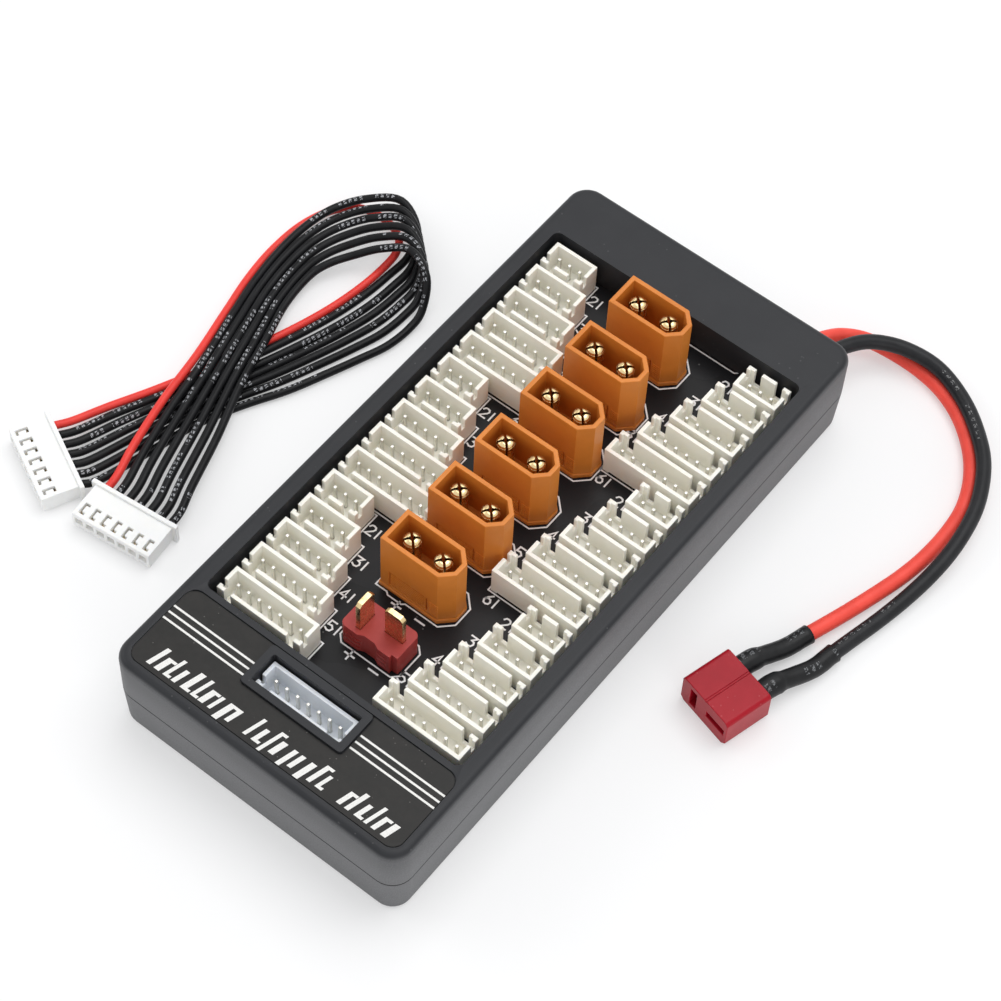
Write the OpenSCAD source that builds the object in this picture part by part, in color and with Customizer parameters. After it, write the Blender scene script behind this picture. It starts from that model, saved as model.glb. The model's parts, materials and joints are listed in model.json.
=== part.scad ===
// Parallel balance charging board: a two-part case round a circuit board with thirty balance
// headers, six power sockets and one blade socket, its power lead, and a loose balance lead.
// +X is to the right of the label, +Y runs from the label to the lead, +Z is up, Z = 0 is the base.

/* [Case] */
// Width of the case along X
case_w = 67; // [66:0.5:80]
// Length of the case along Y
case_l = 141.4; // [138:0.2:170]
// Height of the case from its base to its rim
case_h = 21; // [20:0.5:26]
// Height of the seam between the two shells
seam_z = 10.3; // [9:0.1:11]
// Thickness of the side walls
wall = 2.1; // [1.6:0.1:2.3]
// Thickness of the lower shell's floor
floor_t = 1.8; // [1.2:0.1:2.5]
// Thickness of the upper shell's top plate
top_t = 2.2; // [1.6:0.1:3]
// Radius of the four upright corners
corner_r = 4.5; // [3:0.5:5]
// Radius of the rounded top edge
rim_r = 1.6; // [0.8:0.1:2]
// How far the lower shell's side leans in by its base
base_draft = 0.5; // [0.2:0.1:0.8]
// Radius of the lower shell's bottom edge
base_r = 0.7; // [0.4:0.1:1.2]
// Gap that parts are given where they only sit in each other
seat_gap = 0.15; // [0.05:0.05:0.3]

/* [Window] */
// Width of the window over the sockets
window_w = 59.5; // [59:0.5:60]
// Length of the window
window_l = 105.6; // [105:0.2:112]
// Y of the window's centre
window_y = 4.2; // [3.8:0.1:4.6]
// Radius of the window's corners
window_r = 1.5; // [0.8:0.1:2]
// Thickness of the collars that reach down to the board
collar_t = 1.5; // [1:0.1:2]

/* [Board] */
// Height of the board's top face over the base
board_top = 12.8; // [12.4:0.1:13.4]
// Thickness of the board
board_t = 1.6; // [1:0.1:2]
// Length of the board
board_l = 119; // [117:0.5:119]
// Y of the board's centre
board_y = -1; // [-1.5:0.1:-0.8]
// Length of each rib that carries the board
rib_l = 4; // [2:0.5:8]

/* [Balance headers] */
// Distance between neighbouring pins
pin_pitch = 2.5; // [2.4:0.1:2.54]
// Distance from a header's end to its first pin
pin_margin = 2.45; // [2.2:0.05:2.6]
// Width of a header
header_w = 5.75; // [5:0.05:6]
// Height of a header over the board
header_h = 7; // [6:0.1:8]
// Thickness of a header's walls
header_wall = 0.8; // [0.6:0.1:1]
// Thickness of a header's floor
header_floor = 1.6; // [1:0.1:2.5]
// Side of a square pin
pin_side = 0.64; // [0.5:0.02:0.7]
// Height of the pin tips over the board
pin_rise = 5.9; // [4:0.1:6.5]
// Length of the solder tails under the board
pin_tail = 1.6; // [0.8:0.1:2]
// Distance between neighbouring header rows
header_step = 6.92; // [6.6:0.02:7]
// Y of the rearmost header row
header_y = 52.8; // [52:0.1:53]
// X of the headers' outer ends, on each side
header_x = 28.4; // [28:0.1:29]
// Width of the slots in a header's slotted wall
key_w = 1.6; // [1:0.1:2]
// Width of the posts outside the slots
key_post = 1.7; // [1.4:0.1:2]
// Depth of the slots
key_depth = 4.4; // [3:0.1:5]

/* [Power sockets] */
// Length of a power socket's housing
socket_l = 15.9; // [14:0.1:16.2]
// Width of a power socket's housing
socket_w = 8; // [7.6:0.1:9]
// Height of a power socket over the board
socket_h = 16.3; // [14:0.1:18]
// Depth of the well that the mating plug enters
socket_well = 10; // [7:0.5:11]
// Thickness of the walls round the well
socket_wall = 0.95; // [0.8:0.05:1.2]
// Length of the two chamfers that key the housing
socket_key = 2.5; // [1.5:0.1:3]
// X of the housings' centre
socket_x = -0.3; // [-0.5:0.1:0.5]
// Y of the rearmost power socket
socket_y = 48.7; // [48:0.1:49.2]
// Distance between neighbouring power sockets
socket_step = 13.8; // [13:0.1:14]
// Diameter of a split pin
bullet_d = 3.5; // [3:0.1:3.6]
// Distance between the two split pins
bullet_gap = 7.3; // [7:0.1:7.6]
// Diameter of a split pin's solder tail
tail_d = 2.4; // [1.6:0.1:2.8]
// How far the split pins stay under the housing's rim
bullet_drop = 0.8; // [0.4:0.1:2]

/* [Blade socket] */
// Length of the blade socket's housing
blade_l = 13; // [12:0.1:14]
// Width of the blade socket's housing
blade_w = 7.3; // [6.5:0.1:8]
// Height of the blade socket's housing over the board
blade_h = 5.8; // [5:0.1:8]
// Y of the blade socket's centre
blade_y = -34.4; // [-35:0.1:-34]
// Width of a blade
blade_side = 4.2; // [3.5:0.1:4.5]
// Thickness of a blade
blade_t = 1.1; // [0.8:0.1:1.3]
// How far the blades stand over their housing
blade_rise = 7.9; // [6:0.1:9]
// Distance between the two blades' centres
blade_gap = 6.3; // [6:0.1:6.6]

/* [Output header and label] */
// Number of pins in the output header
output_pins = 7; // [7:1:7]
// Y of the output header's centre
output_y = -55; // [-55.2:0.1:-54.8]
// Gap between the output header and the frame round it
output_gap = 0.35; // [0.2:0.05:0.5]
// Width of the frame's side and front bars
frame_bar = 1.5; // [1:0.1:1.8]
// How far the frame stands over the rim
frame_rise = 0.5; // [0.3:0.1:1]
// Length of the label along X
label_w = 62.4; // [60:0.2:63]
// Width of the label along Y
label_l = 18.2; // [17:0.2:18.6]
// Y of the label's centre
label_y = -59.2; // [-59.4:0.1:-59]
// Radius of the label's corners
label_r = 2.6; // [1:0.1:4]
// Thickness of the label film
label_t = 0.25; // [0.2:0.05:0.4]
// Depth of the recess that takes the label
label_recess = 0.4; // [0.3:0.05:0.6]

/* [Screws] */
// Diameter of the case screws' shanks
screw_d = 2.3; // [2:0.1:2.6]
// Diameter of the screw heads
screw_head_d = 4.2; // [3.8:0.1:4.6]
// Height of the screw heads
screw_head_h = 1.5; // [1.2:0.1:1.8]
// Length of the screws' shanks
screw_l = 13; // [11:0.5:15]
// Diameter of the screw posts
post_d = 5.6; // [5.2:0.1:6]
// Distance from the case's side to a screw
screw_in_x = 5.9; // [5.5:0.1:6.5]
// Distance from the case's end to a screw
screw_in_y = 6.4; // [6:0.1:7]

/* [Power lead] */
// Diameter of the power wires
power_wire_d = 3.1; // [2.8:0.1:3.2]
// Diameter of the heat-shrink sleeves over the wires
sleeve_d = 3.7; // [3.6:0.1:4]
// Diameter of the sleeves over the plug's solder cups
sleeve_cup_d = 4.4; // [4:0.1:4.8]
// Width of the lead's plug
plug_w = 13; // [12.5:0.1:14]
// Length of the lead's plug
plug_l = 10.6; // [10:0.1:12]
// Thickness of the lead's plug
plug_t = 7.8; // [7.5:0.1:8.5]
// Depth of the plug's contact slots
plug_slot = 7; // [5:0.5:8]

/* [Balance lead] */
// Diameter of the balance wires
balance_wire_d = 1.7; // [1.4:0.1:1.8]
// Length of a balance plug along its wires
balance_plug_l = 8.6; // [8.2:0.1:9.6]
// Thickness of a balance plug over its flange
balance_plug_t = 5.2; // [5:0.1:5.7]
// Step from a balance plug's flange down to its body
balance_lip = 0.6; // [0.3:0.05:0.8]
// Thickness of a balance plug's flange along its wires
balance_flange = 0.9; // [0.6:0.1:1.6]
// Width of the bracket-shaped contact windows in a balance plug
balance_slot_w = 1.2; // [1:0.1:1.4]

/* [Hidden] */
$fn = 48;
eps = 0.01;
hull_fn = 32;
PINS_IN_BANK = [3, 4, 5, 6, 7];
socket_count = 6;
lead_wires = 7;
board_under = board_top - board_t;
board_w = case_w - 2 * wall - 0.4;
inner_w = case_w - 2 * wall;
inner_l = case_l - 2 * wall;
plate_z = case_h - top_t;
output_l = header_length(output_pins);
frame_w = output_l + 2 * (output_gap + frame_bar);
frame_l = header_w + 2 * (output_gap + frame_bar);
screw_places = [for (sx = [-1, 1], sy = [-1, 1])
    [sx * (case_w / 2 - screw_in_x), sy * (case_l / 2 - screw_in_y)]];
head_z = 0.5;
head_pocket = head_z + screw_head_h;

// The pins stand this far off a header's middle line, away from its slotted wall
pin_offset = 0.35;

// Where each power wire starts at its solder joint and leaves the case
joint_y = 50;
joint_size = [4, 4.6, 3.6];
exit_z = 8.2;
exit_red_x = 20.5;
exit_black_x = 24.6;
joint_red_x = 11.6;
joint_black_x = 16;

// Where the plugs lie: X and Y of the middle, and the turn about it
POWER_PLUG = [53.7, 1.5, -15];
BALANCE_PLUG_A = [-79.7, -39.5, -26.5];
BALANCE_PLUG_B = [-58.6, -40.6, 6];
cup_spacing = 6.4;
sleeve_cup_l = 4;

// Routes of the free wires, from the case or the first plug to the far plug
RED_ROUTE = [[11.6, 52.3, 9.1], [11.6, 55.6, 9.1], [13.8, 60, 8.6], [17.6, 64, 8.3],
    [20, 67, 8.2], [20.5, 69.6, 8.2], [20.5, 72.4, 8.1], [20.9, 75.4, 7.5],
    [21.8, 79, 6.4], [23.8, 83, 4.8], [27.5, 86.4, 3],
    [33, 88, 1.8], [39.6, 88, 1.55], [46, 86.6, 1.55], [52.3, 83.4, 1.55], [58, 78.4, 1.55],
    [62.1, 72.6, 1.55], [64.6, 66.2, 1.55], [65.4, 59.6, 1.55], [65.2, 52.6, 1.55],
    [64.2, 46, 1.55], [62.4, 39, 1.55], [60, 31, 1.6], [57.3, 22.6, 1.9]];
BLACK_ROUTE = [[16, 52.3, 9.1], [16, 55, 9.1], [18, 58.8, 8.6], [21.4, 62.6, 8.3],
    [23.6, 66.2, 8.2], [24.6, 69, 8.2], [24.6, 72, 8.2], [25.4, 75.6, 8],
    [26.8, 79.6, 7.6], [29.4, 83.8, 6.8], [33.6, 87, 5.8],
    [38.2, 88.6, 5], [43, 88.8, 4.5], [48, 87.4, 4.1], [53.2, 84.6, 4], [58, 80.8, 4],
    [62, 76.6, 4], [65, 71.6, 4], [67.2, 66, 4], [68.4, 60, 3.9], [68.8, 54, 3.4],
    [68.4, 47.6, 2.6], [67.4, 41, 1.9], [66, 34, 1.6], [64.4, 27, 1.7], [63.4, 22.2, 1.9]];

// Routes of the balance lead from plug B round its loop to plug A: the red wire's own, which
// passes under the others, then those of the first and the last black wire
FIRST_WIRE = [[-69, -26, 3.4], [-72, -14, 2.8], [-74, -2, 2.7], [-77, 10, 1.8], [-79.5, 20, 1],
    [-80.5, 29, 0.9], [-80, 37.5, 0.9], [-77.5, 44.5, 0.9], [-73.5, 48.5, 0.9], [-68, 49.5, 0.9],
    [-63, 48, 0.9], [-60.5, 44.5, 0.9], [-60, 39, 0.9], [-60.5, 32, 0.9], [-62, 24, 0.9],
    [-64.5, 15.5, 0.9], [-68, 6, 0.9], [-72, -4, 0.9], [-76, -13, 0.9], [-80, -21.5, 1.2]];
SECOND_WIRE = [[-66.5, -26, 3.2], [-69.7, -14, 2.8], [-72.1, -2, 2.7], [-75.2, 10, 2.4],
    [-77.7, 19.5, 1.4], [-78.7, 28.5, 1.8], [-78.4, 37, 2.4], [-76.6, 44, 2.9],
    [-72.5, 49.8, 3.6], [-66.3, 53.2, 4.6], [-60.1, 50.8, 2.3], [-57.8, 45, 1.1],
    [-58, 38.6, 0.9], [-58.6, 31.8, 0.9], [-60.1, 24, 0.9], [-62.6, 15.5, 0.9],
    [-66, 6, 0.9], [-70, -4, 0.9], [-74, -13, 0.9], [-77.8, -21.8, 1.2]];
LAST_WIRE = [[-54, -26, 3.2], [-58, -14, 2.8], [-62.5, -2, 2.9], [-66, 10, 2.7],
    [-69, 19.5, 2], [-69.6, 27.5, 2.4], [-68.2, 32, 3.2], [-65.3, 36.6, 3.8],
    [-60.8, 40.4, 6], [-55.2, 42.6, 7.8], [-49.2, 40.2, 6.4], [-46.4, 35.4, 2.6],
    [-46.2, 31, 1.1], [-47, 25, 0.9], [-49.2, 19, 0.9], [-52, 12, 0.9],
    [-55.4, 4, 0.9], [-60, -4.5, 0.9], [-64, -13.5, 0.9], [-66.3, -22.6, 1]];

// How far each wire leaves its even place in the bundle, and how much of that each point gets
WIRE_SHIFT = [0, 0, 0.01, -0.02, -0.04, -0.04, 0];
SHIFT_SHARE = [0, 0, 0, 0, 0, 0, 0.3, 0.5, 0.6, 0.6, 0.6, 0.8, 1, 1, 1, 1, 1, 0.6, 0.3, 0];

// ---------------------------------------------------------------- shared shapes

function header_length(pins) = pin_pitch * (pins - 1) + 2 * pin_margin;

// A rectangle with true round corners, centred on the origin
module rounded_rect(size, r) {
    square([size.x - 2 * r, size.y], center = true);
    square([size.x, size.y - 2 * r], center = true);
    for (sx = [-1, 1], sy = [-1, 1])
        translate([sx * (size.x / 2 - r), sy * (size.y / 2 - r)]) circle(r);
}

module block(size, r, z0, z1) {
    translate([0, 0, z0]) linear_extrude(z1 - z0) rounded_rect(size, r);
}

// Puts its children at the four corners of the case
module at_case_corners() {
    for (sx = [-1, 1], sy = [-1, 1])
        translate([sx * (case_w / 2 - corner_r), sy * (case_l / 2 - corner_r), 0]) children();
}

module at_screws() {
    for (p = screw_places) translate([p.x, p.y, 0]) children();
}

// A point on a smooth curve through p1 and p2
function curve_point(p0, p1, p2, p3, t) =
    0.5 * (2 * p1 + (p2 - p0) * t + (2 * p0 - 5 * p1 + 4 * p2 - p3) * t * t
        + (3 * p1 - p0 - 3 * p2 + p3) * t * t * t);

// The route with extra points between its own, steps to each stretch
function smooth(route, steps) = let (last = len(route) - 1) concat(
    [for (i = [0:last - 1], s = [0:steps - 1])
        let (before = i > 0 ? route[i - 1] : 2 * route[0] - route[1],
             after = i + 2 <= last ? route[i + 2] : 2 * route[last] - route[last - 1])
        curve_point(before, route[i], route[i + 1], after, s / steps)],
    [route[last]]);

function unit(v) = v / norm(v);

function direction_at(points, i) =
    unit(points[min(i + 1, len(points) - 1)] - points[max(i - 1, 0)]);

// One ring of a tube: a regular polygon across the route, with a corner at the top
function ring(centre, along, r, sides) =
    let (side = unit(cross(along, [0, 0, 1])), up = cross(side, along))
    [for (k = [0:sides - 1]) let (a = 360 * k / sides)
        centre + r * (cos(a) * up + sin(a) * side)];

// A closed tube along a list of points; d is its diameter, or a list of one for each point
module tube(points, d, sides) {
    count = len(points);
    rings = [for (i = [0:count - 1]) each
        ring(points[i], direction_at(points, i), (is_list(d) ? d[i] : d) / 2, sides)];
    walls = [for (i = [0:count - 2], k = [0:sides - 1])
        let (a = i * sides + k, b = i * sides + (k + 1) % sides)
        [a, b, b + sides, a + sides]];
    near = [[for (k = [sides - 1:-1:0]) k]];
    far = [[for (k = [0:sides - 1]) (count - 1) * sides + k]];
    polyhedron(rings, concat(walls, near, far), convexity = 10);
}

// ---------------------------------------------------------------- case

// A corner of the upper shell, with its rounded top edge
module upper_corner() {
    rotate_extrude($fn = hull_fn) {
        square([corner_r - rim_r, case_h]);
        translate([0, seam_z]) square([corner_r, case_h - rim_r - seam_z]);
        intersection() {
            translate([corner_r - rim_r, case_h - rim_r]) circle(rim_r);
            square([corner_r, case_h]);
        }
    }
}

// A corner of the lower shell, drafted and with its rounded bottom edge
module lower_corner() {
    foot = corner_r - base_draft;
    rotate_extrude($fn = hull_fn) {
        polygon([[0, 0], [foot - base_r, 0], [foot, base_r], [corner_r, seam_z], [0, seam_z]]);
        intersection() {
            translate([foot - base_r, base_r]) circle(base_r);
            square([foot, base_r]);
        }
    }
}

module frame_block(z0, z1) {
    translate([0, output_y, 0]) block([frame_w, frame_l], 0.8, z0, z1);
}

module output_opening() {
    translate([0, output_y, 0])
        block([output_l + 2 * output_gap, header_w + 2 * output_gap], 0.3, seam_z - 1, case_h + 2);
}

module upper_shell() {
    collar_l = window_l + 2 * collar_t;
    front_end = window_y - collar_l / 2;
    rear_end = window_y + collar_l / 2;
    board_seat = board_top + 0.05;
    color([0.17, 0.17, 0.18]) difference() {
        union() {
            difference() {
                hull() at_case_corners() intersection() {
                    upper_corner();
                    translate([0, 0, seam_z]) cylinder(r = corner_r + 1, h = case_h);
                }
                // the board's pocket, and the hollows under the two ends
                block([inner_w, inner_l], 2.4, seam_z - 1, board_seat);
                for (span = [[-inner_l / 2, front_end], [rear_end, inner_l / 2]])
                    translate([-inner_w / 2 + 0.5, span[0] + 0.5, board_seat - 1])
                        cube([inner_w - 1, span[1] - span[0] - 0.5, plate_z - board_seat + 1]);
                translate([0, label_y, 0])
                    block([label_w + 0.4, label_l + 0.4], label_r, case_h - label_recess, case_h + 1);
            }
            frame_block(board_top + 0.3, case_h + frame_rise);
            at_screws() translate([0, 0, seam_z]) cylinder(d = post_d, h = case_h - seam_z - 1);
        }
        translate([0, window_y, 0]) block([window_w, window_l], window_r, seam_z - 1, case_h + 1);
        output_opening();
        at_screws() translate([0, 0, seam_z - 1])
            cylinder(d = screw_d + 0.1, h = screw_l + head_pocket - seam_z + 1.5);
    }
}

module lower_shell() {
    rib_w = inner_w / 2 - header_x - 0.4;
    color([0.16, 0.16, 0.17]) difference() {
        union() {
            difference() {
                hull() at_case_corners() lower_corner();
                block([inner_w, inner_l], 2.4, floor_t, seam_z + 1);
            }
            // ribs that carry the board's long edges
            for (side = [-1, 1], y = [-40, 0, 40])
                translate([side * (inner_w - rib_w) / 2 - rib_w / 2, y - rib_l / 2, floor_t - 0.5])
                    cube([rib_w, rib_l, board_under - floor_t + 0.45]);
            at_screws() cylinder(d = post_d, h = seam_z - 0.05);
        }
        for (x = [exit_red_x, exit_black_x]) wire_notch(x);
        at_screws() {
            translate([0, 0, -1]) cylinder(d = screw_head_d + 0.3, h = head_pocket + 1);
            translate([0, 0, -1]) cylinder(d = screw_d + 0.4, h = seam_z + 2);
        }
    }
}

// The notch in the rear wall that a power wire leaves through
module wire_notch(x) {
    d = power_wire_d + 2 * seat_gap;
    translate([x, case_l / 2 + 1, exit_z]) rotate([90, 0, 0]) cylinder(d = d, h = wall + 2);
    translate([x - d / 2, case_l / 2 - wall - 1, exit_z]) cube([d, wall + 2, seam_z]);
}

module case_screws() {
    color([0.55, 0.55, 0.57]) at_screws() difference() {
        union() {
            translate([0, 0, head_z]) cylinder(d = screw_head_d, h = screw_head_h);
            translate([0, 0, head_pocket - 0.2]) cylinder(d = screw_d, h = screw_l);
        }
        for (turn = [0, 90]) rotate(turn)
            translate([-screw_head_d * 0.32, -0.3, head_z - eps])
                cube([screw_head_d * 0.64, 0.6, 0.9]);
    }
}

module label_panel() {
    color([0.2, 0.19, 0.18]) difference() {
        translate([0, label_y, 0])
            block([label_w, label_l], label_r - 0.2, case_h - label_recess, case_h - label_recess + label_t);
        translate([0, output_y, 0])
            block([frame_w + 0.3, frame_l + 0.3], 0.9, case_h - 1, case_h + 1);
    }
}

// ---------------------------------------------------------------- board

// Calls its children at each pin of a header that is centred on the origin
module at_pins(pins) {
    for (i = [0:pins - 1]) translate([(i - (pins - 1) / 2) * pin_pitch, 0]) children();
}

// Y of a header row, counted from the rear
function row_y(row) = header_y - row * header_step;

function header_centre_x(side, pins) = side * (header_x - header_length(pins) / 2);

// Calls its children at each header of a bank, given as side (-1 or 1) and rank (0 to 2)
module at_bank(side, rank) {
    for (k = [0:len(PINS_IN_BANK) - 1]) {
        $pins = PINS_IN_BANK[k];
        translate([header_centre_x(side, $pins), row_y(rank * len(PINS_IN_BANK) + k)])
            rotate(side < 0 ? 0 : 180) children();
    }
}

module at_sockets() {
    for (k = [0:socket_count - 1])
        translate([socket_x, socket_y - k * socket_step]) children();
}

module at_bullets() {
    for (s = [-1, 1]) translate([s * bullet_gap / 2, 0]) children();
}

module at_blades() {
    translate([0, blade_y]) {
        translate([-blade_gap / 2, -0.4]) rotate(90) children();
        translate([blade_gap / 2, 0.6]) children();
    }
}

module circuit_board() {
    hole = pin_side + 0.16;
    color([0.06, 0.06, 0.065]) translate([0, 0, board_under]) linear_extrude(board_t) difference() {
        translate([0, board_y]) square([board_w, board_l], center = true);
        for (side = [-1, 1], rank = [0:2]) at_bank(side, rank)
            translate([0, pin_offset]) at_pins($pins) square(hole, center = true);
        translate([0, output_y + pin_offset]) at_pins(output_pins) square(hole, center = true);
        at_sockets() at_bullets() circle(d = tail_d + 0.2);
        at_blades() square([blade_side - 1 + 0.2, blade_t + 0.2], center = true);
    }
}

// One balance header, its slotted wall facing -Y
module header_body(pins) {
    long = header_length(pins);
    translate([0, 0, board_top]) difference() {
        translate([-long / 2, -header_w / 2, 0]) cube([long, header_w, header_h]);
        translate([-long / 2 + header_wall, -header_w / 2 + header_wall, header_floor])
            cube([long - 2 * header_wall, header_w - 2 * header_wall, header_h]);
        for (s = [-1, 1]) {
            // slots in the slotted wall, notches in the ends and feet under the floor
            translate([s * (long / 2 - key_post - key_w / 2) - key_w / 2,
                -header_w / 2 - 1, header_h - key_depth])
                cube([key_w, header_wall + 1 + eps, key_depth + 1]);
            translate([s * long / 2 - 1, -header_w / 2 + header_wall + 0.3, header_h - 2.4])
                cube([2, 1.1, 3]);
        }
        translate([-long / 2 + 1.4, -header_w / 2 - 1, -1]) cube([long - 2.8, header_w + 2, 1.35]);
        translate([0, pin_offset, -1]) linear_extrude(header_floor + 2)
            at_pins(pins) square(pin_side + 0.06, center = true);
    }
}

module header_pins(pins) {
    translate([0, pin_offset, board_under - pin_tail])
        linear_extrude(board_t + pin_tail + pin_rise)
        at_pins(pins) square(pin_side, center = true);
}

module header_bank(side, rank) {
    color([0.93, 0.92, 0.87]) at_bank(side, rank) header_body($pins);
}

module header_bank_pins(side, rank) {
    color([0.8, 0.79, 0.75]) at_bank(side, rank) header_pins($pins);
}

module output_header() {
    color([0.93, 0.94, 0.95]) translate([0, output_y]) header_body(output_pins);
}

module output_header_pins() {
    color([0.8, 0.79, 0.75]) translate([0, output_y]) header_pins(output_pins);
}

// ---------------------------------------------------------------- power sockets

// The keyed outline of a power socket, shrunk by inset, with its chamfers at +X
module socket_outline(inset) {
    x = socket_l / 2 - inset;
    y = socket_w / 2 - inset;
    key = socket_key - inset * (2 - sqrt(2));
    polygon([[-x, -y], [x - key, -y], [x, key - y], [x, y - key], [x - key, y], [-x, y]]);
}

module power_socket(index) {
    base = 1;
    panel = [9, 0.45, 4.6];
    color([0.85, 0.42, 0.12])
    translate([socket_x, socket_y - index * socket_step, board_top]) difference() {
        union() {
            linear_extrude(socket_h) socket_outline(0);
            linear_extrude(base) socket_outline(-0.25);
        }
        translate([0, 0, socket_h - socket_well]) linear_extrude(socket_well + 1)
            socket_outline(socket_wall);
        // the recessed panel low on the front face
        translate([-panel.x / 2 - 1.4, -socket_w / 2 - 0.3, 1.6])
            cube([panel.x, panel.y + 0.3, panel.z]);
        at_bullets() translate([0, 0, -1]) cylinder(d = tail_d + 0.1, h = socket_h);
        at_bullets() translate([0, 0, 2.4]) cylinder(d = bullet_d + 0.1, h = socket_h);
    }
}

module power_pins(index) {
    tip = board_top + socket_h - bullet_drop;
    slot = 0.5;
    slot_l = 6.5;
    color([0.85, 0.68, 0.35])
    translate([socket_x, socket_y - index * socket_step, 0]) at_bullets() difference() {
        rotate_extrude() {
            translate([0, board_under - pin_tail]) square([tail_d / 2, board_t + pin_tail + 3]);
            translate([0, board_top + 2.45]) square([bullet_d / 2, tip - board_top - 2.45 - 0.7]);
            polygon([[0, tip], [bullet_d / 2 - 0.8, tip], [bullet_d / 2 - 0.25, tip - 0.3],
                [bullet_d / 2, tip - 0.75], [0, tip - 0.75]]);
        }
        for (turn = [45, 135]) rotate(turn)
            translate([-bullet_d, -slot / 2, tip - slot_l]) cube([2 * bullet_d, slot, slot_l + 1]);
    }
}

// ---------------------------------------------------------------- blade socket

module blade_outline() {
    notch = 1.5;
    difference() {
        rounded_rect([blade_l, blade_w], 1.2);
        // a shallow waist in the front side keys the housing
        translate([0, -blade_w / 2]) polygon([[-2.4, -1], [-2.4, 0], [-1.2, 0.6], [1.2, 0.6],
            [2.4, 0], [2.4, -1]]);
        translate([blade_l / 2 - 0.6, -blade_w / 2]) square([notch, 1.4], center = true);
    }
}

module blade_socket() {
    rib_step = 1.3;
    color([0.62, 0.2, 0.2]) translate([0, blade_y, board_top]) difference() {
        linear_extrude(blade_h) blade_outline();
        // grooves that leave the grip ribs on the front side
        for (k = [0:2]) translate([-blade_l / 2 + 1.2, -blade_w / 2 - 1, 0.9 + k * rib_step])
            cube([blade_l - 3.4, 1.35, 0.6]);
        translate([0, -blade_y, -1]) linear_extrude(blade_h + 2) at_blades()
            square([blade_side + 0.1, blade_t + 0.1], center = true);
    }
}

module blade_contacts() {
    tip = board_top + blade_h + blade_rise;
    color([0.86, 0.72, 0.4]) at_blades() {
        translate([-blade_side / 2, -blade_t / 2, board_top + 0.1]) difference() {
            cube([blade_side, blade_t, tip - board_top - 0.1]);
            // sloped corners at the tip
            for (s = [0, 1]) translate([s * blade_side, -1, tip - board_top - 0.1])
                rotate([0, 45, 0]) cube([0.9, 4 * blade_t, 0.9], center = true);
        }
        translate([-blade_side / 2 + 0.5, -blade_t / 2, board_under - pin_tail])
            cube([blade_side - 1, blade_t, board_t + pin_tail + 0.2]);
    }
}

// ---------------------------------------------------------------- power lead

module solder_joints() {
    color([0.75, 0.75, 0.76]) for (x = [joint_red_x, joint_black_x])
        translate([x - joint_size.x / 2, joint_y - joint_size.y / 2, board_under - joint_size.z])
            cube(joint_size);
}

// A plug is given as [x, y, turn]; in its own frame +Y faces its wires and Z = 0 is the ground
module in_frame(plug) {
    translate([plug.x, plug.y, 0]) rotate(plug.z) children();
}

function out_of(plug, p) = [plug.x + p.x * cos(plug.z) - p.y * sin(plug.z),
    plug.y + p.x * sin(plug.z) + p.y * cos(plug.z), p.z];

module power_plug() {
    color([0.68, 0.12, 0.2]) in_frame(POWER_PLUG) difference() {
        translate([0, plug_l / 2, plug_t / 2]) rotate([90, 0, 0]) linear_extrude(plug_l) difference() {
            rounded_rect([plug_w, plug_t], 1);
            // each flank is keyed by a sloped lower corner
            for (s = [-1, 1]) translate([s * plug_w / 2, -plug_t / 2]) rotate(45)
                square(1.3, center = true);
        }
        // slots for the mating blades: one upright, one flat
        translate([-cup_spacing / 2, -plug_l / 2 + plug_slot / 2 - eps, plug_t / 2])
            cube([1.7, plug_slot, 5], center = true);
        translate([cup_spacing / 2, -plug_l / 2 + plug_slot / 2 - eps, plug_t / 2])
            cube([5, plug_slot, 1.7], center = true);
        // a groove across the broad top
        translate([0, 0, plug_t]) cube([0.5, plug_l + 1, 0.3], center = true);
    }
}

module power_plug_contacts() {
    l = plug_slot * 0.7;
    color([0.86, 0.72, 0.4]) in_frame(POWER_PLUG) translate([0, plug_slot - (plug_l + l) / 2, plug_t / 2]) {
        translate([-cup_spacing / 2, 0, 0]) cube([0.7, l, 5], center = true);
        translate([cup_spacing / 2, 0, 0]) cube([5, l, 0.7], center = true);
    }
}

// The sleeve from one solder cup to the wire's end: side -1 is the red wire's
module sleeve(side, route) {
    wire_end = route[len(route) - 1];
    along = unit(wire_end - route[len(route) - 2]);
    cup_x = side * cup_spacing / 2;
    points = smooth([out_of(POWER_PLUG, [cup_x, plug_l / 2, plug_t / 2]),
        out_of(POWER_PLUG, [cup_x, plug_l / 2 + sleeve_cup_l, plug_t / 2 - 0.2]),
        wire_end + 5 * along, wire_end], 4);
    color([0.1, 0.1, 0.11]) tube(points,
        [for (i = [0:len(points) - 1]) i < 4 ? sleeve_cup_d : sleeve_d], 12);
}

module sleeve_red() {
    sleeve(-1, RED_ROUTE);
}

module sleeve_black() {
    sleeve(1, BLACK_ROUTE);
}

module power_wire_red() {
    color([0.95, 0.35, 0.3]) tube(smooth(RED_ROUTE, 2), power_wire_d, 8);
}

module power_wire_black() {
    color([0.13, 0.13, 0.14]) tube(smooth(BLACK_ROUTE, 2), power_wire_d, 8);
}

// ---------------------------------------------------------------- balance lead

function wire_x(k) = (k - (lead_wires - 1) / 2) * pin_pitch;

// Where wire k passes point i of the loop: the black wires are spread between the outer two
function loop_point(k, i) = k == 0 ? FIRST_WIRE[i] : SECOND_WIRE[i]
    + (LAST_WIRE[i] - SECOND_WIRE[i]) * ((k - 1) / (lead_wires - 2) + WIRE_SHIFT[k] * SHIFT_SHARE[i]);

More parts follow.
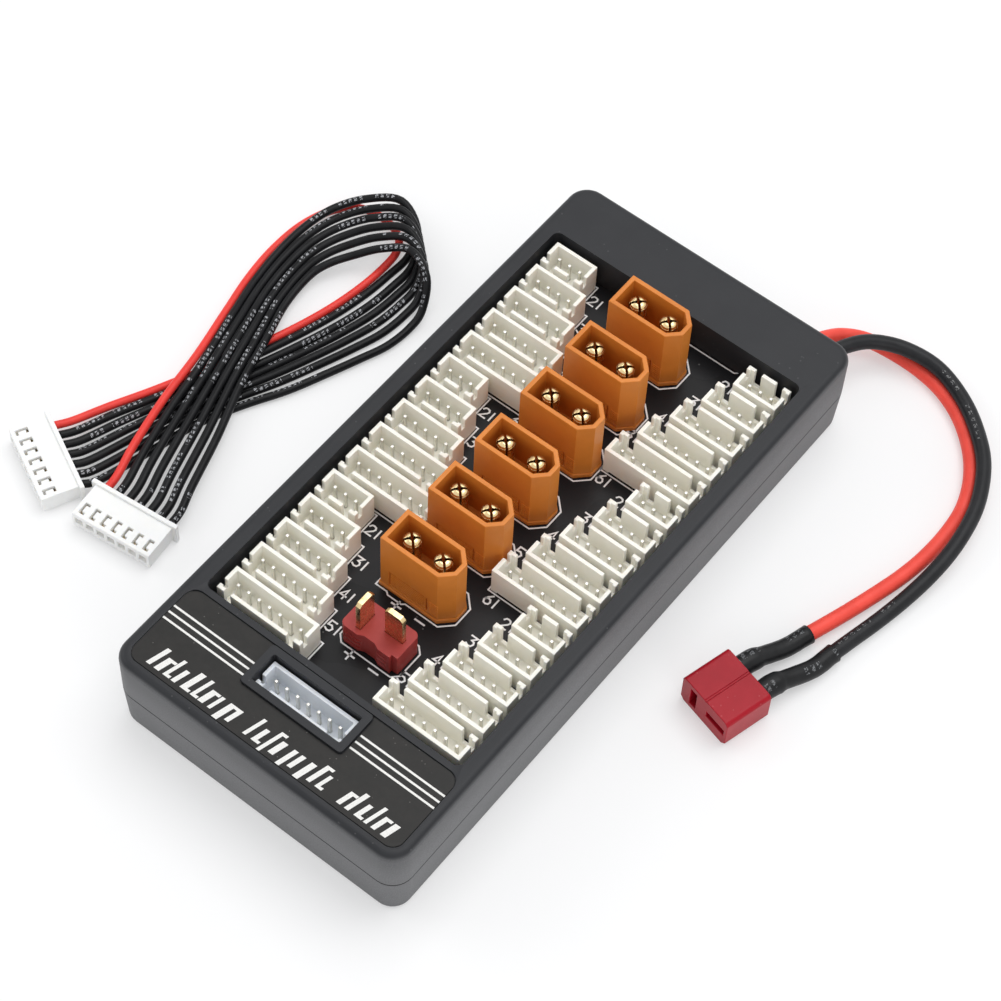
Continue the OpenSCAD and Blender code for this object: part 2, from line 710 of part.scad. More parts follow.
function balance_route(k) = concat(
    [out_of(BALANCE_PLUG_B, [wire_x(k), balance_plug_l / 2, balance_plug_t / 2]),
     out_of(BALANCE_PLUG_B, [wire_x(k), balance_plug_l / 2 + 4, 3])],
    [for (i = [0:len(FIRST_WIRE) - 1]) loop_point(k, i)],
    [out_of(BALANCE_PLUG_A, [wire_x(k), balance_plug_l / 2 + 4, 2]),
     out_of(BALANCE_PLUG_A, [wire_x(k), balance_plug_l / 2, balance_plug_t / 2])]);

module balance_wire(k) {
    color(k == 0 ? [0.85, 0.15, 0.12] : [0.12, 0.12, 0.13])
        tube(smooth(balance_route(k), 2), balance_wire_d, 8);
}

// The body fits inside a header; the flange at the wire end stops it at the header's rim
module balance_plug(plug) {
    w = header_length(lead_wires);
    body_w = w - 2 * (header_wall + 0.1);
    body_t = balance_plug_t - 2 * balance_lip;
    channel = 1.7;
    back = 1.4;
    stem = 0.5;
    window_l = 2.6;
    window_y = 0.9 - balance_plug_l / 2;
    color([0.93, 0.93, 0.9]) in_frame(plug) difference() {
        union() {
            translate([-body_w / 2, -balance_plug_l / 2, balance_lip])
                cube([body_w, balance_plug_l, body_t]);
            translate([-w / 2, balance_plug_l / 2 - balance_flange, 0])
                cube([w, balance_flange, balance_plug_t]);
        }
        for (k = [0:lead_wires - 1]) translate([wire_x(k), 0, 0]) {
            // the channel that takes a pin
            translate([-channel / 2, -balance_plug_l / 2 - 1, (balance_plug_t - channel) / 2])
                cube([channel, balance_plug_l + 1 - back, channel]);
            // the window round the spring finger of its contact
            translate([-balance_slot_w / 2, window_y, balance_plug_t / 2])
                cube([stem, window_l, balance_plug_t]);
            for (y = [window_y, window_y + window_l - stem])
                translate([-balance_slot_w / 2, y, balance_plug_t / 2])
                    cube([balance_slot_w, stem, balance_plug_t]);
        }
    }
}

module balance_contacts(plug) {
    l = 5.6;
    side = 1.3;
    color([0.82, 0.76, 0.6]) in_frame(plug) for (k = [0:lead_wires - 1])
        translate([wire_x(k) - side / 2, balance_plug_l / 2 - 1.4 - l, balance_plug_t / 2 - 0.85])
        difference() {
            cube([side, l, side]);
            translate([0.25, -1, 0.25]) cube([side - 0.5, l, side - 0.5]);
        }
}

module balance_plug_a() {
    balance_plug(BALANCE_PLUG_A);
}

module balance_plug_b() {
    balance_plug(BALANCE_PLUG_B);
}

module balance_contacts_a() {
    balance_contacts(BALANCE_PLUG_A);
}

module balance_contacts_b() {
    balance_contacts(BALANCE_PLUG_B);
}

// ---------------------------------------------------------------- the parts, one line each

upper_shell();
lower_shell();
label_panel();
case_screws();
circuit_board();
header_bank(-1, 0);  // header_bank_left_rear
header_bank_pins(-1, 0);  // header_pins_left_rear
header_bank(-1, 1);  // header_bank_left_middle
header_bank_pins(-1, 1);  // header_pins_left_middle
header_bank(-1, 2);  // header_bank_left_front
header_bank_pins(-1, 2);  // header_pins_left_front
header_bank(1, 0);  // header_bank_right_rear
header_bank_pins(1, 0);  // header_pins_right_rear
header_bank(1, 1);  // header_bank_right_middle
header_bank_pins(1, 1);  // header_pins_right_middle
header_bank(1, 2);  // header_bank_right_front
header_bank_pins(1, 2);  // header_pins_right_front
output_header();
output_header_pins();
power_socket(0);  // power_socket_1
power_pins(0);  // power_pins_1
power_socket(1);  // power_socket_2
power_pins(1);  // power_pins_2
power_socket(2);  // power_socket_3
power_pins(2);  // power_pins_3
power_socket(3);  // power_socket_4
power_pins(3);  // power_pins_4
power_socket(4);  // power_socket_5
power_pins(4);  // power_pins_5
power_socket(5);  // power_socket_6
power_pins(5);  // power_pins_6
blade_socket();
blade_contacts();
solder_joints();
power_wire_red();
power_wire_black();
sleeve_red();
sleeve_black();
power_plug();
power_plug_contacts();
balance_wire(0);  // balance_wire_1
balance_wire(1);  // balance_wire_2
balance_wire(2);  // balance_wire_3
balance_wire(3);  // balance_wire_4
balance_wire(4);  // balance_wire_5
balance_wire(5);  // balance_wire_6
balance_wire(6);  // balance_wire_7
balance_plug_a();
balance_plug_b();
balance_contacts_a();
balance_contacts_b();
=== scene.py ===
"""Dresses a parallel charging board for model battery packs.

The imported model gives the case, the circuit board, the headers, the sockets and the
plugs. This file adds their finishes, the free wires, the printed marks and the small
moulded details, and sets the camera, the lights and the floor. Lengths are written in
millimetres and turned into metres where a mesh is made.
"""

from __future__ import annotations

import json
import logging
import math
import random
from dataclasses import dataclass, field
from enum import Enum
from typing import Callable, Sequence, Union

import bmesh
import bpy
from mathutils import Matrix, Vector

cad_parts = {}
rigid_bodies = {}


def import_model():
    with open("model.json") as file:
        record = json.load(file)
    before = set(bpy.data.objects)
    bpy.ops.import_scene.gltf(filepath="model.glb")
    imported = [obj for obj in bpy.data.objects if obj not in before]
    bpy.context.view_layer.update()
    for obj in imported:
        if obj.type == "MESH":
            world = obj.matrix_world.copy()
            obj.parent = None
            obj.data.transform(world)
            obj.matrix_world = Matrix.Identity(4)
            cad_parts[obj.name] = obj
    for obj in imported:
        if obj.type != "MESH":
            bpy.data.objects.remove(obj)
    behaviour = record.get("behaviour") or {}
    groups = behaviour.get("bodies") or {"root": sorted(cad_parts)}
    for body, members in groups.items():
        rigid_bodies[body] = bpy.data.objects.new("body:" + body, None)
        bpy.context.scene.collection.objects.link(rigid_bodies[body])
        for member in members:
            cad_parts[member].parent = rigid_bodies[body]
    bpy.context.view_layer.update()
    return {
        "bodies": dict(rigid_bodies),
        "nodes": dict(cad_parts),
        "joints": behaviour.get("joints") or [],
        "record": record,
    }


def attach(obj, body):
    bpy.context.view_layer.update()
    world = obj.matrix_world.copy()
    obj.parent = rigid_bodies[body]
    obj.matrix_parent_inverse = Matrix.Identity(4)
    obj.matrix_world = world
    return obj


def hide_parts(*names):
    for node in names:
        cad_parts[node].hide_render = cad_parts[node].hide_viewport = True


MM = 0.001
BODY = "root"
BOARD_TOP = 12.8
SOCKET_COUNT = 6
SOCKET_MIDDLE_X = -0.3
SOCKET_FIRST_Y = 48.7
SOCKET_STEP = 13.8
SOCKET_WIDTH = 8.0
PIN_REACH = 3.65
INK = 0.02
LOG = logging.getLogger("charging_board")

Point = Sequence[float]
Colour = tuple[float, float, float]


# ------------------------------------------------------------------ shader language


class Signal:
    """A number or a vector in a shader tree, which Python arithmetic can work on."""

    def __init__(self, tree: "ShaderTree", socket: bpy.types.NodeSocket) -> None:
        """Wraps an output socket.

        Args:
            tree: The tree that the socket belongs to.
            socket: The output socket.
        """
        self.tree = tree
        self.socket = socket

    def _math(self, operation: str, other: "Value" = 0.0, swapped: bool = False) -> "Signal":
        """Adds one Math node.

        Args:
            operation: The node's operation.
            other: The second operand.
            swapped: True where this signal is the second operand.

        Returns:
            The node's result.
        """
        pair = [other, self] if swapped else [self, other]
        return self.tree.node("ShaderNodeMath", {"operation": operation}, {0: pair[0], 1: pair[1]})

    def __add__(self, other: "Value") -> "Signal":
        """Adds."""
        return self._math("ADD", other)

    __radd__ = __add__

    def __sub__(self, other: "Value") -> "Signal":
        """Subtracts."""
        return self._math("SUBTRACT", other)

    def __rsub__(self, other: "Value") -> "Signal":
        """Subtracts this signal from a number."""
        return self._math("SUBTRACT", other, swapped=True)

    def __mul__(self, other: "Value") -> "Signal":
        """Multiplies."""
        return self._math("MULTIPLY", other)

    __rmul__ = __mul__

    def above(self, limit: float) -> "Signal":
        """Gives 1 where the signal is above the limit, and 0 elsewhere."""
        return self._math("GREATER_THAN", limit)

    def below(self, limit: float) -> "Signal":
        """Gives 1 where the signal is below the limit, and 0 elsewhere."""
        return self._math("LESS_THAN", limit)

    def repeat(self, length: float) -> "Signal":
        """Starts again from 0 at every multiple of the length."""
        return self._math("FLOORED_MODULO", length)

    def size(self) -> "Signal":
        """Gives the signal without its sign."""
        return self._math("ABSOLUTE")

    def ramp(self, low: float, high: float) -> "Signal":
        """Rises smoothly from 0 at the low value to 1 at the high one."""
        return self.tree.node(
            "ShaderNodeMapRange",
            {"interpolation_type": "SMOOTHSTEP"},
            {"Value": self, "From Min": low, "From Max": high},
        )


Value = Union[Signal, float, int, Sequence[float]]


class ShaderTree:
    """One material's node tree, with its Principled shader and its output."""

    def __init__(self, name: str) -> None:
        """Makes an empty material.

        Args:
            name: The material's name.
        """
        self.material = bpy.data.materials.new(name)
        self.material.use_nodes = True
        self.tree = self.material.node_tree
        self.tree.nodes.clear()
        self.shader = self.tree.nodes.new("ShaderNodeBsdfPrincipled")
        output = self.tree.nodes.new("ShaderNodeOutputMaterial")
        self.tree.links.new(self.shader.outputs["BSDF"], output.inputs["Surface"])

    def node(
        self,
        kind: str,
        settings: dict[str, object] | None = None,
        inputs: dict[object, Value] | None = None,
        output: object = 0,
    ) -> Signal:
        """Adds one node.

        Args:
            kind: The node's type.
            settings: Its settings, which are set first.
            inputs: The values or links of its sockets, by name or number.
            output: The name or number of the output that is wanted.

        Returns:
            That output.
        """
        made = self.tree.nodes.new(kind)
        for key, value in (settings or {}).items():
            setattr(made, key, value)
        for key, value in (inputs or {}).items():
            self.feed(made.inputs[key], value)
        return Signal(self, made.outputs[output])

    def feed(self, socket: bpy.types.NodeSocket, value: Value) -> None:
        """Links or sets an input socket.

        Args:
            socket: The input.
            value: A signal, a number, a vector or a colour.
        """
        if isinstance(value, Signal):
            self.tree.links.new(value.socket, socket)
        elif hasattr(value, "__len__") and socket.type == "RGBA" and len(value) == 3:
            socket.default_value = (*value, 1)
        else:
            socket.default_value = value

    def set(self, **values: Value) -> None:
        """Feeds the Principled shader.

        Args:
            values: Inputs by name, with underscores for spaces.
        """
        for key, value in values.items():
            self.feed(self.shader.inputs[key.replace("_", " ")], value)

    def place(self) -> Signal:
        """Gives the point in the object's own frame, in metres."""
        return self.node("ShaderNodeTexCoord", output="Object")

    def map_place(self) -> tuple[Signal, Signal]:
        """Reads the map of a swept tube.

        Returns:
            How far round the tube the point is, and how far along it.
        """
        uv = self.node("ShaderNodeTexCoord", output="UV")
        parts = self.node("ShaderNodeSeparateXYZ", inputs={0: uv}, output="X")
        along = Signal(self, parts.socket.node.outputs["Y"])
        return parts, along

    def noise(self, scale: float, detail: float = 3, rough: float = 0.55) -> Signal:
        """Adds a cloudy noise from 0 to 1.

        Args:
            scale: Lumps in a metre.
            detail: Octaves.
            rough: How strong the finer octaves are.

        Returns:
            The noise.
        """
        return self.node(
            "ShaderNodeTexNoise",
            inputs={"Vector": self.place(), "Scale": scale, "Detail": detail,
                    "Roughness": rough},
            output="Fac",
        )

    def specks(self, scale: float, radius: float) -> Signal:
        """Gives 1 in scattered round specks.

        Args:
            scale: Cells in a metre.
            radius: A speck's radius, as a part of a cell.

        Returns:
            The mask.
        """
        near = self.node(
            "ShaderNodeTexVoronoi", inputs={"Vector": self.place(), "Scale": scale},
            output="Distance",
        )
        some = self.noise(scale * 0.21, 1).above(0.56)
        return near.below(radius) * some

    def blend(self, mask: Value, first: Value, second: Value) -> Signal:
        """Mixes two colours.

        Args:
            mask: 0 for the first colour, 1 for the second.
            first: A colour.
            second: A colour.

        Returns:
            The mixed colour.
        """
        made = self.tree.nodes.new("ShaderNodeMix")
        made.data_type = "RGBA"
        self.feed(made.inputs["Factor"], mask)
        for slot, value in (("A", first), ("B", second)):
            socket = [s for s in made.inputs if s.name == slot and s.type == "RGBA"][0]
            self.feed(socket, value)
        return Signal(self, [s for s in made.outputs if s.type == "RGBA"][0])

    def bump(self, height: Signal, depth_mm: float, strength: float = 1.0,
             onto: Signal | None = None) -> Signal:
        """Turns a height into a normal.

        Args:
            height: The height, 0 to 1.
            depth_mm: The relief's depth in millimetres.
            strength: How much of it shows.
            onto: A normal to start from.

        Returns:
            The normal.
        """
        inputs: dict[object, Value] = {
            "Height": height, "Distance": depth_mm * MM, "Strength": strength}
        if onto is not None:
            inputs["Normal"] = onto
        return self.node("ShaderNodeBump", inputs=inputs)


# ------------------------------------------------------------------ finishes


@dataclass(frozen=True)
class Moulding:
    """An injection-moulded plastic.

    The colour drifts slightly from place to place, the gloss is uneven, and the skin
    has a fine grain over slow ripples.
    """

    name: str
    colour: Colour
    drift: Colour
    roughness: float
    grain_per_metre: float = 9000
    grain_depth: float = 0.012
    ripple_depth: float = 0.05
    dust: float = 0.0
    glow: float = 0.0
    specular: float = 0.5
    # Colour of the painted reflection that pales the outer walls, or None for none.
    painted_wall_reflection: Colour | None = None
    side_x: float = 30.6
    side_y: float = 67.2
    # Height and half-width of the painted shade line along the seam between the shells.
    seam_z: float = 10.3
    seam: float = 0.2

    def _sides(self, tree: ShaderTree) -> tuple[Signal, Signal]:
        """Finds the outer walls, which are rougher than the top and carry a painted reflection
        that makes them paler.

        Args:
            tree: The material's tree.

        Returns:
            1 on the walls for the painted reflection, most low down, and 1 along the seam for a
            painted shade line.
        """
        parts = tree.node("ShaderNodeSeparateXYZ", inputs={0: tree.place()})
        facing = tree.node("ShaderNodeTexCoord", output="Normal")
        tilt = tree.node("ShaderNodeSeparateXYZ", inputs={0: facing}, output="Z")
        far_x = parts.size().ramp(self.side_x * MM, (self.side_x + 0.4) * MM)
        far_y = Signal(tree, parts.socket.node.outputs["Y"]).size().ramp(
            self.side_y * MM, (self.side_y + 0.4) * MM)
        outer = tree.node("ShaderNodeMath", {"operation": "MAXIMUM"}, {0: far_x, 1: far_y})
        walls = outer * (1 - tilt.size().ramp(0.35, 0.8))
        height = Signal(tree, parts.socket.node.outputs["Z"])
        painted_seam_shade = (height - self.seam_z * MM).size().below(self.seam * MM)
        # Painted reflection on the outer walls, strongest low down, and painted shade along the
        # seam.
        return walls * (1 - height.ramp(12 * MM, 20 * MM) * 0.35), walls * painted_seam_shade

    def build(self) -> bpy.types.Material:
        """Makes the material.

        Returns:
            The material.
        """
        tree = ShaderTree(self.name)
        cloud = tree.noise(90, 4, 0.6)
        fine = tree.noise(self.grain_per_metre, 2)
        ripple = tree.noise(160, 2)
        tint = tree.blend(cloud.ramp(0.3, 0.7), self.colour, self.drift)
        gloss = self.roughness + (cloud - 0.5) * 0.12 + (fine - 0.5) * 0.1
        # Painted reflection: the outer walls are made paler than the top, as if reflecting the
        # pale floor.
        if self.painted_wall_reflection:
            sides, painted_seam_shade = self._sides(tree)
            grain = tuple(c * 0.72 for c in self.painted_wall_reflection)
            painted_reflection_tone = tree.blend(fine.ramp(0.3, 0.7), self.painted_wall_reflection, grain)
            tint = tree.blend(sides, tint, painted_reflection_tone)
            # Painted shade: a near-black line along the seam stands for the shadow in the gap
            # between the shells.
            tint = tree.blend(painted_seam_shade, tint, (0.001, 0.001, 0.001))
            gloss = gloss + sides * 0.14
        if self.dust:
            grey = tuple(min(1.0, c + 0.16) for c in self.colour)
            tint = tree.blend(tree.specks(700, 0.12) * self.dust, tint, grey)
        surface = tree.bump(ripple, self.ripple_depth, 0.35)
        tree.set(
            Base_Color=tint,
            Roughness=gloss,
            Normal=tree.bump(fine, self.grain_depth, 0.5, surface),
            Specular_IOR_Level=self.specular,
        )
        if self.glow:
            tree.set(Subsurface_Weight=self.glow, Subsurface_Radius=(1.0, 0.9, 0.75),
                     Subsurface_Scale=0.6 * MM)
        return tree.material


@dataclass(frozen=True)
class Plating:
    """A plated metal contact, slightly scuffed along its length.

    Where asked, each power pin's tip gets a painted shade in the middle, standing for the shadow
    inside the hollow pin.
    """

    name: str
    colour: Colour
    tarnish: Colour
    roughness: float
    # Whether each power pin's tip gets a painted shade square, and the square's half-width.
    painted_bore_shade: bool = False
    painted_bore_shade_half: float = 0.62

    def _painted_bore_shade_mask(self, tree: ShaderTree) -> Signal:
        """Gives 1 in a small square in the middle of every power pin's tip, where the painted
        shade goes.

        Args:
            tree: The material's tree.

        Returns:
            The mask.
        """
        parts = tree.node("ShaderNodeSeparateXYZ", inputs={0: tree.place()})
        y = Signal(tree, parts.socket.node.outputs["Y"])
        half = SOCKET_STEP / 2
        across = ((parts - SOCKET_MIDDLE_X * MM).size() - PIN_REACH * MM).size()
        along = ((y - (SOCKET_FIRST_Y - half) * MM).repeat(SOCKET_STEP * MM) - half * MM).size()
        return across.below(self.painted_bore_shade_half * MM) * along.below(self.painted_bore_shade_half * MM)

    def build(self) -> bpy.types.Material:
        """Makes the material.

        Returns:
            The material.
        """
        tree = ShaderTree(self.name)
        cloud = tree.noise(900, 3)
        scuff = tree.noise(5200, 4, 0.7)
        stain = cloud.ramp(0.42, 0.75)
        tint = tree.blend(stain, self.colour, self.tarnish)
        if self.painted_bore_shade:
            # Painted shade: a dark square in each pin tip stands for the shadow inside the hollow
            # pin.
            tint = tree.blend(self._painted_bore_shade_mask(tree) * 0.9, tint, (0.05, 0.025, 0.012))
        tree.set(
            Base_Color=tint,
            Metallic=1.0,
            Roughness=self.roughness + stain * 0.12 + (scuff - 0.5) * 0.16,
            Normal=tree.bump(scuff, 0.01, 0.4),
        )
        return tree.material


@dataclass(frozen=True)
class SolderMask:
    """The board's gloss black lacquer, with copper fields faintly raised under it."""

    name: str = "board_lacquer"

    def build(self) -> bpy.types.Material:
        """Makes the material.

        Returns:
            The material.
        """
        tree = ShaderTree(self.name)
        fields = tree.noise(55, 1).above(0.5)
        orange = tree.noise(1500, 2)
        dust = tree.specks(520, 0.1)
        tint = tree.blend(fields, (0.0085, 0.0085, 0.0095), (0.012, 0.012, 0.0135))
        tree.set(
            Base_Color=tree.blend(dust * 0.4, tint, (0.22, 0.22, 0.22)),
            Roughness=0.34 + (orange - 0.5) * 0.1 + dust * 0.3,
            Normal=tree.bump(fields * 0.7 + orange * 0.3, 0.02, 0.4),
            Specular_IOR_Level=0.16,
        )
        return tree.material


@dataclass(frozen=True)
class Film:
    """The label's printed film: dark, smooth and faintly mottled."""

    name: str = "label_film"

    def build(self) -> bpy.types.Material:
        """Makes the material.

        Returns:
            The material.
        """
        tree = ShaderTree(self.name)
        cloud = tree.noise(240, 5, 0.65)
        leather = tree.noise(2400, 3)
        tint = tree.blend(cloud.ramp(0.3, 0.7), (0.015, 0.0145, 0.0135), (0.023, 0.0215, 0.02))
        tree.set(
            Base_Color=tree.blend(tree.specks(900, 0.1) * 0.3, tint, (0.3, 0.29, 0.27)),
            Roughness=0.46 + (cloud - 0.5) * 0.2,
            Normal=tree.bump(leather, 0.012, 0.6),
            Specular_IOR_Level=0.22,
        )
        return tree.material


@dataclass(frozen=True)
class Ink:
    """White printing ink, a little thin and uneven at its edges."""

    name: str
    colour: Colour = (0.78, 0.78, 0.76)

    def build(self) -> bpy.types.Material:
        """Makes the material.

        Returns:
            The material.
        """
        tree = ShaderTree(self.name)
        thin = tree.noise(6500, 3)
        worn = tuple(c * 0.8 for c in self.colour)
        tree.set(
            Base_Color=tree.blend(thin.ramp(0.4, 0.75), self.colour, worn),
            Roughness=0.5 + (thin - 0.5) * 0.2,
        )
        return tree.material


@dataclass(frozen=True)
class Silicone:
    """A wire's soft jacket, with an optional faint line of print along it."""

    name: str
    colour: Colour
    drift: Colour
    print_colour: Colour | None = None
    print_height: float = 0.09
    letter: float = 1.15 * MM
    line: float = 47 * MM
    printed: float = 0.42
    worn: float = 0.45
    roughness: float = 0.40
    specular: float = 0.3

    def build(self) -> bpy.types.Material:
        """Makes the material.

        Returns:
            The material.
        """
        tree = ShaderTree(self.name)
        cloud = tree.noise(260, 3)
        dusty = tree.noise(3200, 4, 0.7)
        tint = tree.blend(cloud.ramp(0.3, 0.7), self.colour, self.drift)
        tint = tree.blend(dusty.ramp(0.62, 0.9) * 0.2, tint,
                          tuple(min(1.0, c + 0.06) for c in self.colour))
        if self.print_colour:
            tint = tree.blend(self._print(tree, dusty), tint, self.print_colour)
        tree.set(
            Base_Color=tint,
            Roughness=self.roughness + (cloud - 0.5) * 0.14 + (dusty - 0.5) * 0.1,
            Normal=tree.bump(dusty, 0.012, 0.35),
            Specular_IOR_Level=self.specular,
        )
        return tree.material

    def _print(self, tree: ShaderTree, dusty: Signal) -> Signal:
        """Gives a broken row of small strokes along the wire, in groups.

        Args:
            tree: The material's tree.
            dusty: The noise that wears the print away.

        Returns:
            The mask.
        """
        around, along = tree.map_place()
        band = around.size().below(self.print_height / 2)
        stroke = along.repeat(self.letter).below(self.letter * 0.55)
        lean = (along * (0.61 / self.letter)).repeat(1.0)
        half = (around + (lean - 0.5) * (self.print_height * 0.8)).size()
        open_part = half.above(self.print_height * 0.14)
        word = along.repeat(self.letter * 7.3).below(self.letter * 5.4)
        group = along.repeat(self.line).below(self.line * self.printed)
        return band * stroke * open_part * word * group * dusty.above(self.worn) * 0.6


class Finish(Enum):
    """The finishes that the pieces choose from."""

    # The case's outer walls get a painted reflection and its seam a painted shade line.
    CASE = Moulding("case_black", (0.022, 0.023, 0.026), (0.027, 0.028, 0.031), 0.44,
                    grain_per_metre=7000, grain_depth=0.02, dust=0.2, specular=0.22,
                    painted_wall_reflection=(0.19, 0.191, 0.196))
    IVORY = Moulding("header_nylon", (0.95, 0.93, 0.85), (0.93, 0.905, 0.81), 0.42,
                     glow=0.25, specular=0.35)
    WHITE = Moulding("white_nylon", (0.84, 0.87, 0.91), (0.80, 0.83, 0.87), 0.42,
                     glow=0.25, specular=0.35)
    PLUG_WHITE = Moulding("plug_nylon", (0.93, 0.93, 0.915), (0.90, 0.90, 0.88), 0.40,
                          glow=0.2, specular=0.35)
    ORANGE = Moulding("socket_orange", (0.70, 0.228, 0.032), (0.62, 0.195, 0.026), 0.38,
                      ripple_depth=0.08, glow=0.08, specular=0.35)
    MAROON = Moulding("blade_maroon", (0.42, 0.050, 0.043), (0.33, 0.037, 0.034), 0.44,
                      glow=0.05, specular=0.3)
    CRIMSON = Moulding("plug_crimson", (0.385, 0.0060, 0.017), (0.315, 0.005, 0.014), 0.34,
                       ripple_depth=0.09, glow=0.05, specular=0.2, dust=0.25)
    GOLD = Plating("gold_plate", (0.76, 0.59, 0.32), (0.60, 0.44, 0.22), 0.24)
    # The power pins' tips get a painted shade in their hollow middles.
    PIN_GOLD = Plating("pin_gold_plate", (0.76, 0.59, 0.32), (0.60, 0.44, 0.22), 0.24, painted_bore_shade=True)
    TIN = Plating("bright_tin", (0.74, 0.73, 0.69), (0.62, 0.61, 0.57), 0.42)
    STEEL = Plating("zinc_steel", (0.50, 0.50, 0.52), (0.34, 0.34, 0.36), 0.34)
    BOARD = SolderMask()
    LABEL = Film()
    SILK = Ink("board_print", (0.88, 0.89, 0.89))
    LABEL_INK = Ink("label_print", (0.84, 0.83, 0.80))
    RED_WIRE = Silicone("power_red", (0.93, 0.086, 0.060), (0.85, 0.073, 0.050), roughness=0.46)
    BLACK_WIRE = Silicone("power_black", (0.012, 0.0125, 0.014), (0.018, 0.0185, 0.0205),
                          (0.34, 0.34, 0.34), print_height=0.07, letter=1.6 * MM,
                          line=61 * MM, printed=0.3, worn=0.5, specular=0.2)
    SHRINK = Silicone("shrink_black", (0.0095, 0.0098, 0.0105), (0.015, 0.0155, 0.0165),
                      (0.26, 0.27, 0.28), print_height=0.12, letter=1.5 * MM,
                      line=15 * MM, printed=0.7, worn=0.5, roughness=0.36, specular=0.2)
    THIN_RED = Silicone("balance_red", (0.86, 0.052, 0.040), (0.77, 0.044, 0.034))
    THIN_BLACK = Silicone("balance_black", (0.0075, 0.0077, 0.0085), (0.012, 0.0122, 0.0135),
                          (0.60, 0.61, 0.64), print_height=0.16, roughness=0.33,
                          specular=0.14)


class Paintshop:
    """Makes each finish once and puts it on the pieces that ask for it."""

    def __init__(self) -> None:
        """Starts with no material made."""
        self._made: dict[Finish, bpy.types.Material] = {}

    def material(self, finish: Finish) -> bpy.types.Material:
        """Gives a finish's material, and makes it the first time.

        Args:
            finish: The finish.

        Returns:
            Its material.
        """
        if finish not in self._made:
            self._made[finish] = finish.value.build()
        return self._made[finish]

    def paint(self, piece: bpy.types.Object, finish: Finish) -> None:
        """Puts a finish on the whole of a piece."""
        piece.data.materials.clear()
        piece.data.materials.append(self.material(finish))


# ------------------------------------------------------------------ mesh tools


def catmull(route: Sequence[Point], steps: int) -> list[Vector]:
    """Puts a smooth curve through a route.

    Args:
        route: The route's points.
        steps: How many points each stretch gets.

    Returns:
        The curve's points.
    """
    pts = [Vector(p) for p in route]
    ends = [2 * pts[0] - pts[1], *pts, 2 * pts[-1] - pts[-2]]
    out = []
    for i in range(len(pts) - 1):
        a, b, c, d = ends[i:i + 4]
        for s in range(steps):
            t = s / steps
            out.append(0.5 * (2 * b + (c - a) * t + (2 * a - 5 * b + 4 * c - d) * t * t
                              + (3 * b - a - 3 * c + d) * t ** 3))
    return [*out, pts[-1]]


def length_of(points: Sequence[Vector]) -> float:
    """Adds up the distances between neighbouring points."""
    return sum((b - a).length for a, b in zip(points, points[1:]))


@dataclass
class Placing:
    """Where a loose piece lies: a point on the floor and a turn about it."""

    x: float
    y: float
    turn: float

    def matrix(self) -> Matrix:
        """Gives the placing as a matrix in metres."""
        return (Matrix.Translation(Vector((self.x, self.y, 0)) * MM)
                @ Matrix.Rotation(math.radians(self.turn), 4, "Z"))

    def out(self, point: Point) -> Vector:
        """Takes a point out of the piece's own frame.

        Args:
            point: The point in millimetres.

        Returns:
            The same point in the row frame, in millimetres.
        """
        a = math.radians(self.turn)
        x, y, z = point
        return Vector((self.x + x * math.cos(a) - y * math.sin(a),
                       self.y + x * math.sin(a) + y * math.cos(a), z))


